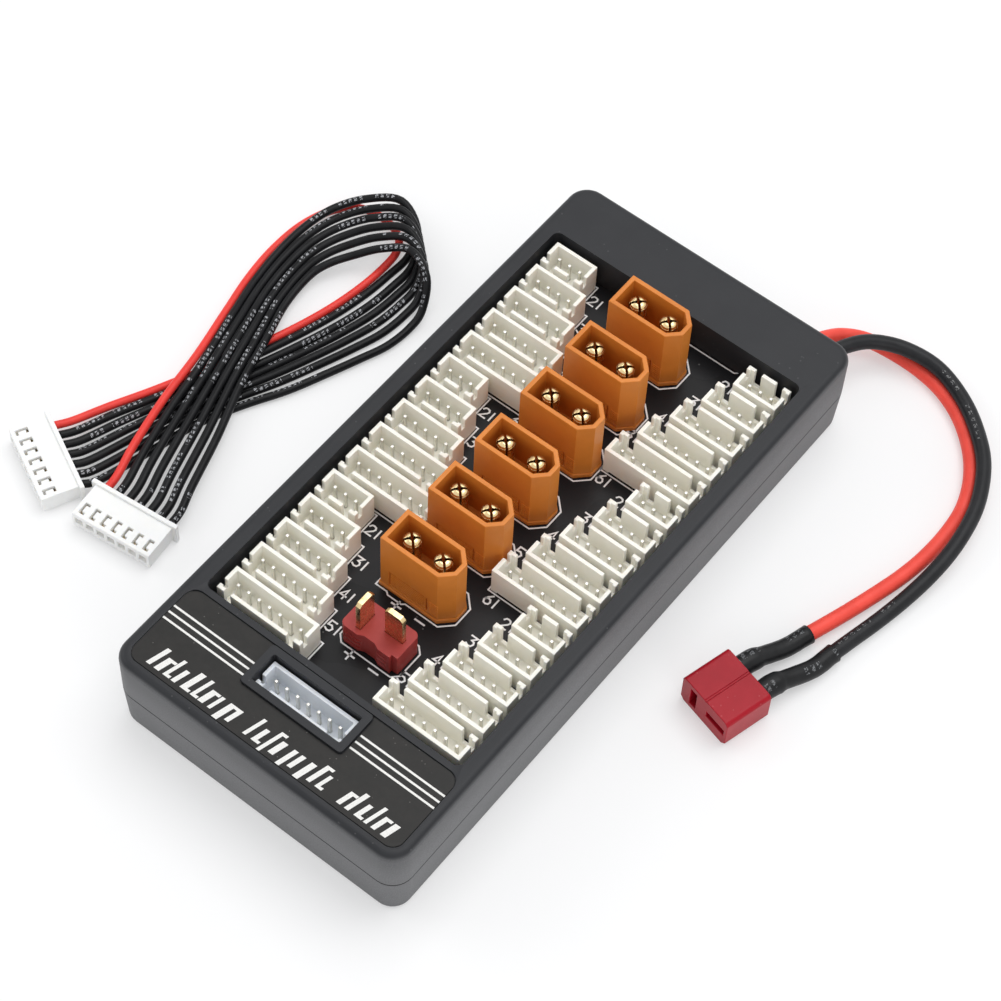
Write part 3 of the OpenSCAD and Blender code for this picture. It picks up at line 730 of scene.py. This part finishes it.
class Workshop:
    """Builds meshes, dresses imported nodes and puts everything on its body."""

    def __init__(self, frame: dict[str, object], paint: Paintshop) -> None:
        """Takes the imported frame.

        Args:
            paint: Where the finishes come from.
        """
        self.nodes: dict[str, bpy.types.Object] = frame["nodes"]
        self.paint = paint

    def add(self, name: str, mesh: bpy.types.Mesh, finish: Finish, slot: str,
            replaces: Sequence[str] = (), smooth: bool = True) -> bpy.types.Object:
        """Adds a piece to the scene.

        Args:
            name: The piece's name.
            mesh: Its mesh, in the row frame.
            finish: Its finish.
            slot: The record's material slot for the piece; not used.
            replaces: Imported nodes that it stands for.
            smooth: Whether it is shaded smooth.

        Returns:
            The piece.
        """
        piece = bpy.data.objects.new(name, mesh)
        bpy.context.scene.collection.objects.link(piece)
        for face in mesh.polygons:
            face.use_smooth = smooth
        self.paint.paint(piece, finish)
        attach(piece, BODY)
        if replaces:
            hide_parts(*replaces)
        LOG.info("made %s, %d faces", name, len(mesh.polygons))
        return piece

    def dress(self, node: str, finish: Finish, edge: float = 0.12, turns: int = 2,
              clamp: bool = True) -> None:
        """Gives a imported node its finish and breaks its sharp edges.

        Args:
            node: The node's name.
            finish: The finish.
            edge: Width of the broken edges in millimetres, or 0 for none.
            turns: Segments across an edge.
            clamp: Whether the broken edges shrink where they would run into each other.
        """
        piece = self.nodes[node]
        self.paint.paint(piece, finish)
        for face in piece.data.polygons:
            face.use_smooth = True
        if edge:
            weld = piece.modifiers.new("weld", "WELD")
            weld.merge_threshold = 1e-6
            bevel = piece.modifiers.new("edge", "BEVEL")
            bevel.width = edge * MM
            bevel.segments = turns
            bevel.limit_method = "ANGLE"
            bevel.angle_limit = math.radians(32)
            bevel.use_clamp_overlap = clamp
            bevel.harden_normals = True
            flat = piece.modifiers.new("flat", "WEIGHTED_NORMAL")
            flat.weight = 50
        LOG.info("dressed %s", node)

    @staticmethod
    def mesh(name: str, points: Sequence[Point], faces: Sequence[Sequence[int]],
             scale: float = MM) -> bpy.types.Mesh:
        """Makes a mesh.

        Args:
            name: The mesh's name.
            points: Its points.
            faces: Its faces, as numbers of points.
            scale: The points' unit in metres.

        Returns:
            The mesh.
        """
        made = bpy.data.meshes.new(name)
        made.from_pydata([Vector(p) * scale for p in points], [], [list(f) for f in faces])
        made.validate()
        return made

    @staticmethod
    def tube(name: str, path: Sequence[Vector], radius: Callable[[float], float],
             sides: int = 20, start: float = 0.0, twist: float = 0.0) -> bpy.types.Mesh:
        """Sweeps a round section along a path, with a map of its surface.

        Args:
            name: The mesh's name.
            path: The centreline, in metres.
            radius: The radius in metres, from the distance along the path.
            sides: Sides of the section.
            start: Where the map starts along the tube, in metres.
            twist: How far the map is turned round the tube, as a part of a turn.

        Returns:
            The mesh.
        """
        made = bmesh.new()
        uv = made.loops.layers.uv.new("map")
        gone = 0.0
        rings, along_at = [], []
        for i, here in enumerate(path):
            before, after = path[max(i - 1, 0)], path[min(i + 1, len(path) - 1)]
            along = (after - before).normalized()
            side = along.cross(Vector((0, 0, 1))).normalized()
            up = side.cross(along)
            if i:
                gone += (here - path[i - 1]).length
            r = radius(gone)
            ring = []
            for k in range(sides):
                a = 2 * math.pi * k / sides
                ring.append(made.verts.new(here + r * (math.cos(a) * up + math.sin(a) * side)))
            rings.append(ring)
            along_at.append(gone)
        for i in range(len(rings) - 1):
            for k in range(sides):
                n = (k + 1) % sides
                face = made.faces.new(
                    (rings[i][k], rings[i][n], rings[i + 1][n], rings[i + 1][k]))
                places = ((k, i), (k + 1, i), (k + 1, i + 1), (k, i + 1))
                for loop, (a, b) in zip(face.loops, places):
                    turn = a / sides if a / sides <= 0.5 else a / sides - 1
                    if k >= sides / 2 and turn == 0.5:
                        turn = -0.5
                    loop[uv].uv = (turn - twist, along_at[b] + start)
        made.faces.new(list(reversed(rings[0])))
        made.faces.new(rings[-1])
        bmesh.ops.recalc_face_normals(made, faces=made.faces)
        mesh = bpy.data.meshes.new(name)
        made.to_mesh(mesh)
        made.free()
        return mesh


# ------------------------------------------------------------------ printed marks


class Strokes:
    """Flat printed lines on a level surface, gathered into one mesh."""

    DIGITS: dict[str, list[list[tuple[float, float]]]] = {
        "2": [[(0, 1.25), (0.2, 1.55), (0.5, 1.6), (0.85, 1.5), (1, 1.2), (0.85, 0.85),
               (0, 0), (1, 0)]],
        "3": [[(0, 1.6), (1, 1.6), (0.45, 0.95), (0.85, 0.85), (1, 0.5), (0.8, 0.1),
               (0.4, 0), (0, 0.2)]],
        "4": [[(0.72, 0), (0.72, 1.6), (0, 0.5), (1, 0.5)]],
        "5": [[(0.95, 1.6), (0.1, 1.6), (0.02, 0.85), (0.6, 0.95), (1, 0.55), (0.8, 0.1),
               (0.4, 0), (0, 0.2)]],
        "6": [[(0.8, 1.6), (0.25, 1.05), (0, 0.5), (0.2, 0.08), (0.55, 0), (0.9, 0.15),
               (1, 0.5), (0.8, 0.88), (0.45, 0.95), (0.1, 0.75)]],
        "+": [[(0, 0.8), (1.2, 0.8)], [(0.6, 0.2), (0.6, 1.4)]],
        "-": [[(0, 0.8), (1.2, 0.8)]],
    }

    def __init__(self, level: float) -> None:
        """Starts with nothing printed.

        Args:
            level: Height of the ink in millimetres.
        """
        self.level = level
        self.points: list[Point] = []
        self.faces: list[list[int]] = []

    def line(self, route: Sequence[tuple[float, float]], width: float,
             closed: bool = False) -> None:
        """Prints one line with mitred corners.

        Args:
            route: Its corners in X and Y.
            width: Its width.
            closed: Whether it ends where it starts.
        """
        pts = [Vector(p) for p in route]
        count = len(pts)
        start = len(self.points)
        for i, here in enumerate(pts):
            before = pts[i - 1] if closed or i else None
            after = pts[(i + 1) % count] if closed or i < count - 1 else None
            legs = [v.normalized() for v in (
                here - before if before is not None else None,
                after - here if after is not None else None) if v is not None]
            normals = [Vector((-v.y, v.x)) for v in legs]
            across = sum(normals, Vector((0, 0))).normalized()
            reach = width / 2 / max(0.45, across.dot(normals[0]))
            push = Vector((0, 0)) if closed or 0 < i < count - 1 else (
                -legs[0] if i == 0 else legs[0]) * width / 2
            for s in (1, -1):
                q = here + push + across * reach * s
                self.points.append((q.x, q.y, self.level))
        for i in range(count if closed else count - 1):
            a, b = start + 2 * i, start + 2 * ((i + 1) % count)
            self.faces.append([a, a + 1, b + 1, b])

    def patch(self, corners: Sequence[tuple[float, float]]) -> None:
        """Prints one filled shape.

        Args:
            corners: Its corners in X and Y.
        """
        start = len(self.points)
        self.points += [(x, y, self.level) for x, y in corners]
        self.faces.append(list(range(start, len(self.points))))

    def sign(self, text: str, x: float, y: float, height: float, width: float = 0.26) -> None:
        """Prints a digit or a polarity sign.

        Args:
            text: One character.
            x: Its centre.
            y: Its centre.
            height: Its height.
            width: The width of its lines.
        """
        k = height / 1.6
        for route in self.DIGITS[text]:
            wide = 1.2 if text in "+-" else 1.0
            self.line([(x + (a - wide / 2) * k, y + (b - 0.8) * k) for a, b in route], width)

    def mesh(self, name: str) -> bpy.types.Mesh:
        """Gathers the ink.

        Args:
            name: The mesh's name.

        Returns:
            One mesh with all the ink, facing up.
        """
        made = Workshop.mesh(name, self.points, self.faces)
        for face in made.polygons:
            if face.normal.z < 0:
                face.flip()
        return made


# ------------------------------------------------------------------ camera and studio


@dataclass
class Studio:
    """The camera, the lights, the world and the floor."""

    eye: tuple[float, float, float] = (171.91, -241.78, 485.66)
    right: tuple[float, float, float] = (0.78588, 0.61755, 0.03196)
    down: tuple[float, float, float] = (0.53476, -0.65277, -0.53658)
    lens: float = 106.2
    floor_size: float = 12.0
    fill: float = 0.66
    white: float = 0.96
    backdrop: float = 0.4

    def build(self) -> None:
        """Sets up everything that isn't the object."""
        self._camera()
        self._world()
        self._floor()
        self._softbox("softbox_over", (0.05, 0.45, 1.25), (0, 0, 0), 1.1, 0.9, 8.2)
        self._softbox("softbox_left", (-1.2, -0.35, 0.75), (0, 0, 0), 0.8, 0.7, 2.9)
        self._softbox("softbox_right", (1.15, -0.55, 0.55), (0, 0, 0), 0.7, 0.6, 2.3)
        bpy.context.scene.view_settings.view_transform = "Standard"

    def _camera(self) -> None:
        """Makes the camera and looks through it."""
        data = bpy.data.cameras.new("camera")
        data.sensor_width = 36
        data.lens = self.lens
        data.clip_start = 0.02
        data.clip_end = 50
        camera = bpy.data.objects.new("camera", data)
        bpy.context.scene.collection.objects.link(camera)
        right, down = Vector(self.right).normalized(), Vector(self.down).normalized()
        back = right.cross(-down).normalized()
        turn = Matrix((right, -down, back)).transposed().to_4x4()
        camera.matrix_world = Matrix.Translation(Vector(self.eye) * MM) @ turn
        bpy.context.scene.camera = camera

    def _world(self) -> None:
        """Lights the object softly all round, and shows white to the camera and the gloss."""
        world = bpy.data.worlds.new("world")
        bpy.context.scene.world = world
        world.use_nodes = True
        tree = world.node_tree
        tree.nodes.clear()
        path = tree.nodes.new("ShaderNodeLightPath")
        seen: bpy.types.NodeSocket | None = None
        for name in ("Is Camera Ray", "Is Glossy Ray", "Is Transmission Ray"):
            if seen is None:
                seen = path.outputs[name]
                continue
            most = tree.nodes.new("ShaderNodeMath")
            most.operation = "MAXIMUM"
            tree.links.new(seen, most.inputs[0])
            tree.links.new(path.outputs[name], most.inputs[1])
            seen = most.outputs[0]
        shades = []
        for colour, strength in (((0.97, 0.98, 1.0, 1), self.fill), ((1, 1, 1, 1), 1.0)):
            made = tree.nodes.new("ShaderNodeBackground")
            made.inputs["Color"].default_value = colour
            made.inputs["Strength"].default_value = strength
            shades.append(made)
        mix = tree.nodes.new("ShaderNodeMixShader")
        tree.links.new(seen, mix.inputs[0])
        tree.links.new(shades[0].outputs[0], mix.inputs[1])
        tree.links.new(shades[1].outputs[0], mix.inputs[2])
        output = tree.nodes.new("ShaderNodeOutputWorld")
        tree.links.new(mix.outputs[0], output.inputs["Surface"])

    def _floor(self) -> None:
        """Lays the pale floor under the object."""
        half = self.floor_size / 2
        mesh = Workshop.mesh(
            "floor", [(-half, -half, 0), (half, -half, 0), (half, half, 0), (-half, half, 0)],
            [[0, 1, 2, 3]], 1.0)
        floor = bpy.data.objects.new("floor", mesh)
        floor.location.z = -0.00005
        bpy.context.scene.collection.objects.link(floor)
        tree = ShaderTree("floor_white")
        cloud = tree.noise(3, 2)
        tree.set(Base_Color=tree.blend(cloud, (self.white,) * 3, (self.white - 0.015,) * 3),
                 Roughness=0.9, Specular_IOR_Level=0.1)
        self._backdrop(tree)
        mesh.materials.append(tree.material)

    def _backdrop(self, floor: ShaderTree) -> None:
        """Whitens the floor where the camera and the gloss see it, and keeps its shadows.

        Args:
            floor: The floor's material.
        """
        tree = floor.tree
        path = tree.nodes.new("ShaderNodeLightPath")
        seen = (Signal(floor, path.outputs["Is Camera Ray"])
                + Signal(floor, path.outputs["Is Glossy Ray"])
                + Signal(floor, path.outputs["Is Transmission Ray"])).ramp(0, 1) * self.backdrop
        white = tree.nodes.new("ShaderNodeEmission")
        white.inputs["Strength"].default_value = 1.0
        mix = tree.nodes.new("ShaderNodeMixShader")
        output = [n for n in tree.nodes if n.bl_idname == "ShaderNodeOutputMaterial"][0]
        tree.links.new(seen.socket, mix.inputs[0])
        tree.links.new(floor.shader.outputs["BSDF"], mix.inputs[1])
        tree.links.new(white.outputs[0], mix.inputs[2])
        tree.links.new(mix.outputs[0], output.inputs["Surface"])

    @staticmethod
    def _softbox(name: str, at: Point, aim: Point, wide: float, high: float,
                 power: float) -> None:
        """Hangs a soft light.

        Args:
            name: Its name.
            at: Where it hangs, in metres.
            aim: What it faces.
            wide: Its width.
            high: Its height.
            power: Its power in watts.
        """
        data = bpy.data.lights.new(name, "AREA")
        data.shape = "RECTANGLE"
        data.size, data.size_y = wide, high
        data.energy = power
        lamp = bpy.data.objects.new(name, data)
        lamp.location = at
        lamp.rotation_euler = (Vector(aim) - Vector(at)).to_track_quat("-Z", "Y").to_euler()
        bpy.context.scene.collection.objects.link(lamp)


# ------------------------------------------------------------------ free wires


@dataclass
class PowerLead:
    """The red and black power wires, their sleeves and the plug on their end."""

    shop: Workshop
    wire: float = 3.1
    plug: Placing = field(default_factory=lambda: Placing(53.7, 1.5, -15))
    plug_length: float = 10.6
    plug_height: float = 7.8
    cup_x: float = 3.2
    wall_y: float = 70.7
    exit_x: tuple[float, float] = (20.5, 24.6)
    exit_z: float = 8.2
    cup_radius: float = 2.2
    cup_length: float = 4.4
    shrunk: float = 0.33
    red: tuple[Point, ...] = (
        (11.6, 52.3, 9.1), (11.6, 55.6, 9.1), (13.8, 60, 8.6), (17.6, 64, 8.3),
        (20, 67, 8.2), (20.5, 69.6, 8.2), (20.5, 72.4, 8.1), (20.9, 75.4, 7.5),
        (21.8, 79, 6.4), (23.8, 83, 4.8), (27.5, 86.4, 3),
        (33, 88, 1.8), (39.6, 88, 1.55), (46, 86.6, 1.55), (52.3, 83.4, 1.55),
        (58, 78.4, 1.55), (62.1, 72.6, 1.55), (64.6, 66.2, 1.55), (65.4, 59.6, 1.55),
        (65.2, 52.6, 1.55), (64.2, 46, 1.55), (62.4, 39, 1.55), (60, 31, 1.6),
        (57.3, 22.6, 1.9))
    black: tuple[Point, ...] = (
        (16, 52.3, 9.1), (16, 55, 9.1), (18, 58.8, 8.6), (21.4, 62.6, 8.3),
        (23.6, 66.2, 8.2), (24.6, 69, 8.2), (24.6, 72, 8.2), (25.4, 75.6, 8),
        (26.8, 79.6, 7.6), (29.4, 83.8, 6.8), (33.6, 87, 5.8),
        (38.2, 88.6, 5), (43, 88.8, 4.5), (48, 87.4, 4.1), (53.2, 84.6, 4), (58, 80.8, 4),
        (62, 76.6, 4), (65, 71.6, 4), (67.2, 66, 4), (68.4, 60, 3.9), (68.8, 54, 3.4),
        (68.4, 47.6, 2.6), (67.4, 41, 1.9), (66, 34, 1.6), (64.4, 27, 1.7),
        (63.4, 22.2, 1.9))

    def build(self) -> None:
        """Makes both wires, their sleeves and the plug's finish."""
        shop = self.shop
        for side, colour, route, finish in (
                (-1, "red", self.red, Finish.RED_WIRE),
                (1, "black", self.black, Finish.BLACK_WIRE)):
            line = [p * MM for p in catmull(route, 6)]
            wire = shop.add(f"silicone_{colour}",
                            shop.tube(f"silicone_{colour}", line, lambda s: self.wire / 2 * MM,
                                      start=9 * MM, twist=0.05),
                            finish, f"wire_{colour}", [f"power_wire_{colour}"])
            sleeve = self._sleeve(side, colour, route)
            length_of(line)
        shop.dress("power_plug", Finish.CRIMSON, 0.15, 3, clamp=False)
        shop.dress("power_plug_contacts", Finish.GOLD, 0.08)
        shop.dress("solder_joints", Finish.STEEL, 0.4)

    def _sleeve(self, side: int, colour: str, route: Sequence[Point]) -> bpy.types.Object:
        """Makes the shrunk sleeve over a solder cup and the wire's end.

        Args:
            side: -1 for the red wire's, 1 for the black one's.
            colour: The wire's colour.
            route: The wire's route.

        Returns:
            The sleeve.
        """
        end, before = Vector(route[-1]), Vector(route[-2])
        along = (end - before).normalized()
        x = side * self.cup_x
        face = self.plug_length / 2
        points = catmull([self.plug.out((x, face, self.plug_height / 2)),
                          self.plug.out((x, face + 4, self.plug_height / 2 - 0.2)),
                          end + along * 5, end], 12)
        line = [p * MM for p in points]
        line.append(line[-1] - along * 0.8 * MM)
        whole = length_of(line) / MM

        def radius(s: float) -> float:
            """Gives the sleeve's radius.

            Args:
                s: The distance from the plug, in metres.

            Returns:
                The radius in metres.
            """
            s /= MM
            step = min(1.0, max(0.0, (s - self.cup_length) / 1.5))
            step = step * step * (3 - 2 * step)
            wrinkle = 0.035 * math.sin(2.1 * s + side) * math.sin(0.9 * s)
            lip = 0.08 * max(0.0, 1 - (whole - s) / 0.8)
            return (self.cup_radius - self.shrunk * step + wrinkle * (1 - step * 0.5) + lip) * MM

        shop = self.shop
        return shop.add(f"shrink_sleeve_{colour}",
                        shop.tube(f"shrink_sleeve_{colour}", line, radius, 28,
                                  start=(4 + side) * MM, twist=0.06 * side),
                        Finish.SHRINK, "sleeve_black", [f"sleeve_{colour}"])


@dataclass
class BalanceLead:
    """The loose seven-wire lead with a plug on each end."""

    shop: Workshop
    wires: int = 7
    wire: float = 1.7
    pitch: float = 2.5
    plug_length: float = 8.6
    plug_height: float = 5.2
    plug_a: Placing = field(default_factory=lambda: Placing(-79.7, -39.5, -26.5))
    plug_b: Placing = field(default_factory=lambda: Placing(-58.6, -40.6, 6))
    first: tuple[Point, ...] = (
        (-69, -26, 3.4), (-72, -14, 2.8), (-74, -2, 2.7), (-77, 10, 1.8), (-79.5, 20, 1),
        (-80.5, 29, 0.9), (-80, 37.5, 0.9), (-77.5, 44.5, 0.9), (-73.5, 48.5, 0.9),
        (-68, 49.5, 0.9), (-63, 48, 0.9), (-60.5, 44.5, 0.9), (-60, 39, 0.9),
        (-60.5, 32, 0.9), (-62, 24, 0.9), (-64.5, 15.5, 0.9), (-68, 6, 0.9),
        (-72, -4, 0.9), (-76, -13, 0.9), (-80, -21.5, 1.2))
    second: tuple[Point, ...] = (
        (-66.5, -26, 3.2), (-69.7, -14, 2.8), (-72.1, -2, 2.7), (-75.2, 10, 2.4),
        (-77.7, 19.5, 1.4), (-78.7, 28.5, 1.8), (-78.4, 37, 2.4), (-76.6, 44, 2.9),
        (-72.5, 49.8, 3.6), (-66.3, 53.2, 4.6), (-60.1, 50.8, 2.3), (-57.8, 45, 1.1),
        (-58, 38.6, 0.9), (-58.6, 31.8, 0.9), (-60.1, 24, 0.9), (-62.6, 15.5, 0.9),
        (-66, 6, 0.9), (-70, -4, 0.9), (-74, -13, 0.9), (-77.8, -21.8, 1.2))
    last: tuple[Point, ...] = (
        (-54, -26, 3.2), (-58, -14, 2.8), (-62.5, -2, 2.9), (-66, 10, 2.7),
        (-69, 19.5, 2), (-69.6, 27.5, 2.4), (-68.2, 32, 3.2), (-65.3, 36.6, 3.8),
        (-60.8, 40.4, 6), (-55.2, 42.6, 7.8), (-49.2, 40.2, 6.4), (-46.4, 35.4, 2.6),
        (-46.2, 31, 1.1), (-47, 25, 0.9), (-49.2, 19, 0.9), (-52, 12, 0.9),
        (-55.4, 4, 0.9), (-60, -4.5, 0.9), (-64, -13.5, 0.9), (-66.3, -22.6, 1))
    shift: tuple[float, ...] = (0, 0, 0.01, -0.02, -0.04, -0.04, 0)
    share: tuple[float, ...] = (
        0, 0, 0, 0, 0, 0, 0.3, 0.5, 0.6, 0.6, 0.6, 0.8, 1, 1, 1, 1, 1, 0.6, 0.3, 0)

    def route(self, k: int) -> list[Vector]:
        """Gives wire k's route: the red one's own, or its place between the black ones.

        Args:
            k: The wire's number, from 0.

        Returns:
            Its route from plug B to plug A.
        """
        x = (k - (self.wires - 1) / 2) * self.pitch
        face = self.plug_length / 2
        mid = self.plug_height / 2
        if k == 0:
            between = [Vector(p) for p in self.first]
        else:
            even = (k - 1) / (self.wires - 2)
            between = [Vector(a).lerp(Vector(b), even + self.shift[k] * part)
                       for a, b, part in zip(self.second, self.last, self.share)]
        return [self.plug_b.out((x, face, mid)), self.plug_b.out((x, face + 4, 3)), *between,
                self.plug_a.out((x, face + 4, 2)), self.plug_a.out((x, face, mid))]

    def build(self) -> None:
        """Makes the wires and finishes both plugs."""
        shop = self.shop
        for k in range(self.wires):
            line = [p * MM for p in catmull(self.route(k), 6)]
            name = f"jacket_{k + 1}"
            turn = 0.09 * math.sin(2.3 * k + 0.6)
            wire = shop.add(name, shop.tube(name, line, lambda s: self.wire / 2 * MM, 16,
                                            start=0.0173 * k * k, twist=turn),
                            Finish.THIN_RED if k == 0 else Finish.THIN_BLACK,
                            "balance_red" if k == 0 else "balance_black",
                            [f"balance_wire_{k + 1}"])
            length_of(line)
        for end in "ab":
            shop.dress(f"balance_plug_{end}", Finish.PLUG_WHITE, 0.15)
            shop.dress(f"balance_contacts_{end}", Finish.GOLD, 0.06)


# ------------------------------------------------------------------ the board and its case


@dataclass
class Case:
    """The two shells, their screws and the label with its print."""

    shop: Workshop
    label_top: float = 20.85
    stripe: float = 0.42

    def build(self) -> None:
        """Finishes the shells and prints the label."""
        shop = self.shop
        shop.dress("upper_shell", Finish.CASE, 0.3, 3)
        shop.dress("lower_shell", Finish.CASE, 0.25, 3)
        shop.dress("case_screws", Finish.STEEL, 0.1)
        shop.dress("label_panel", Finish.LABEL, 0.06)
        ink = Strokes(self.label_top + INK)
        for left, right, first in ((-31.0, -12.2, -55.3), (12.3, 31.0, -54.5)):
            for k in range(3):
                y = first - 1.5 * k
                ink.line([(left, y), (right, y)], self.stripe)
        self._bars(ink)
        shop.add("label_print", ink.mesh("label_print"), Finish.LABEL_INK, "label", smooth=False)

    @staticmethod
    def _bars(ink: Strokes) -> None:
        """Prints three groups of slanted bars of uneven height across the label.

        Args:
            ink: Where the lines go.
        """
        pick = random.Random(7)
        base, slant = -67.3, 0.28
        for start, end in ((-27.4, -6.6), (-4.6, 15.0), (17.0, 29.4)):
            x = start
            while x < end - 1.2:
                wide = pick.choice((0.75, 0.95, 1.2))
                low = base + pick.choice((0, 0, 0, -0.9))
                high = base + pick.choice((3.3, 3.3, 3.3, 4.6))
                top = x + (high - low) * slant
                ink.patch([(x, low), (x + wide, low), (top + wide, high), (top, high)])
                if pick.random() < 0.6:
                    foot = low if pick.random() < 0.5 else high - 0.6
                    lean = (foot - low) * slant
                    ink.patch([(x + wide + lean, foot), (x + wide + 0.8 + lean, foot),
                               (x + wide + 0.8 + lean + 0.6 * slant, foot + 0.6),
                               (x + wide + lean + 0.6 * slant, foot + 0.6)])
                x += wide + pick.choice((0.9, 1.05, 1.2))


@dataclass
class Board:
    """The circuit board, its headers and everything printed on it."""

    shop: Workshop
    pitch: float = 2.5
    margin: float = 2.45
    header_width: float = 5.75
    outer: float = 28.4
    first_row: float = 52.8
    row_step: float = 6.92
    rows: int = 15
    line: float = 0.32

    def header_length(self, pins: int) -> float:
        """Gives the length of a header with so many pins."""
        return self.pitch * (pins - 1) + 2 * self.margin

    def build(self) -> None:
        """Finishes the board and the headers, and prints the marks."""
        shop = self.shop
        shop.dress("circuit_board", Finish.BOARD, 0)
        for side in ("left", "right"):
            for rank in ("rear", "middle", "front"):
                shop.dress(f"header_bank_{side}_{rank}", Finish.IVORY, 0.13)
                shop.dress(f"header_pins_{side}_{rank}", Finish.TIN, 0.1)
        shop.dress("output_header", Finish.WHITE, 0.13)
        shop.dress("output_header_pins", Finish.TIN, 0.1)
        ink = Strokes(BOARD_TOP + INK)
        self._header_marks(ink)
        self._socket_marks(ink)
        self._blade_marks(ink)
        shop.add("board_print", ink.mesh("board_print"), Finish.SILK, "board", smooth=False)

    def _header_marks(self, ink: Strokes) -> None:
        """Prints an outline round each header and its cell count beside it.

        Args:
            ink: Where the lines go.
        """
        gap = 0.32
        for row in range(self.rows):
            pins = 3 + row % 5
            inner = self.outer - self.header_length(pins)
            y = self.first_row - row * self.row_step
            reach = self.header_width / 2 + gap
            for side in (-1, 1):
                near, far = side * (inner - gap), side * (self.outer + gap)
                ink.line([(near, y - reach), (far, y - reach), (far, y + reach),
                          (near, y + reach)], self.line, closed=True)
                x, at = side * (inner - 2.4), y
                if pins == 7:
                    x, at = side * (inner + 1.9), y - reach - 1.6
                    if row == self.rows - 1:
                        continue
                ink.sign(str(pins - 1), x - 0.9, at, 2.2, 0.36)
                ink.line([(x + 0.75, at + 1.0), (x + 0.75, at - 1.0)], 0.36)

    def _socket_marks(self, ink: Strokes) -> None:
        """Prints the keyed outline of each power socket, and the polarity of the last.

        Args:
            ink: Where the lines go.
        """
        for k in range(SOCKET_COUNT):
            y = SOCKET_FIRST_Y - SOCKET_STEP * k
            left, right, half, key = -8.85, 8.25, 4.6, 2.4
            ink.line([(left, y - half), (-6.2, y - half), (-5.6, y - half - 0.5),
                      (-2.4, y - half - 0.5), (-1.8, y - half), (right - key, y - half),
                      (right, y - half + key), (right, y + half - key),
                      (right - key, y + half), (left, y + half)], self.line, closed=True)
        for sign, x in (("+", -2.9), ("-", 2.7)):
            ink.sign(sign, x, -26.2, 2.7, 0.4)
            ink.sign(sign, x, -39.7, 2.7, 0.4)
        ink.line([(4, 56.5), (15, 56.5), (15.5, 57)], self.line)

    def _blade_marks(self, ink: Strokes) -> None:
        """Prints the outline round the blade socket.

        Args:
            ink: Where the lines go.
        """
        x, low, high, cut = 7.1, -38.6, -30.2, 1.3
        ink.line([(-x + cut, low), (x - cut, low), (x, low + cut), (x, high - cut),
                  (x - cut, high), (-x + cut, high), (-x, high - cut), (-x, low + cut)],
                 self.line, closed=True)


@dataclass
class Sockets:
    """The power sockets and the blade socket, with their contacts."""

    shop: Workshop
    rows: int = 7
    lowest: float = 1.9
    step: float = 0.6
    thick: float = 0.3
    root: float = 0.47
    inner: tuple[float, float] = (-5.9, 2.5)
    outer: tuple[float, float] = (3.3, 5.3)

    def build(self) -> None:
        """Finishes the sockets."""
        shop = self.shop
        for k in range(1, SOCKET_COUNT + 1):
            shop.dress(f"power_socket_{k}", Finish.ORANGE, 0.16)
            shop.dress(f"power_pins_{k}", Finish.PIN_GOLD, 0.12)
        shop.dress("blade_socket", Finish.MAROON, 0.15)
        shop.dress("blade_contacts", Finish.GOLD, 0.14)
        self._ribs()

    def _ribs(self) -> None:
        """Lays level grip ribs in the recess of each power socket's front side, and beside it."""
        points: list[Point] = []
        faces: list[list[int]] = []
        for k in range(SOCKET_COUNT):
            front = SOCKET_FIRST_Y - SOCKET_STEP * k - SOCKET_WIDTH / 2
            for rib in range(2 * self.rows):
                low = BOARD_TOP + self.lowest + self.step * (rib % self.rows)
                ends, proud = (self.inner, -0.1) if rib < self.rows else (self.outer, 0.12)
                start = len(points)
                points += [(x, y, z) for x in ends for y in (front - proud, front + self.root)
                           for z in (low, low + self.thick)]
                faces += [[start + c for c in face] for face in (
                    (0, 1, 3, 2), (4, 6, 7, 5), (0, 4, 5, 1), (2, 3, 7, 6), (1, 5, 7, 3),
                    (0, 2, 6, 4))]
        self.shop.add("socket_ribs", Workshop.mesh("socket_ribs", points, faces),
                      Finish.ORANGE, "socket_orange", smooth=False)


def main() -> None:
    """Builds the whole scene."""
    logging.basicConfig(level=logging.INFO, format="%(name)s: %(message)s")
    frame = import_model()
    studio = Studio()
    studio.build()
    shop = Workshop(frame, Paintshop())
    for part in (PowerLead(shop), BalanceLead(shop), Case(shop), Board(shop), Sockets(shop)):
        part.build()
        LOG.info("%s done", type(part).__name__)


if __name__ == "__main__":
    main()
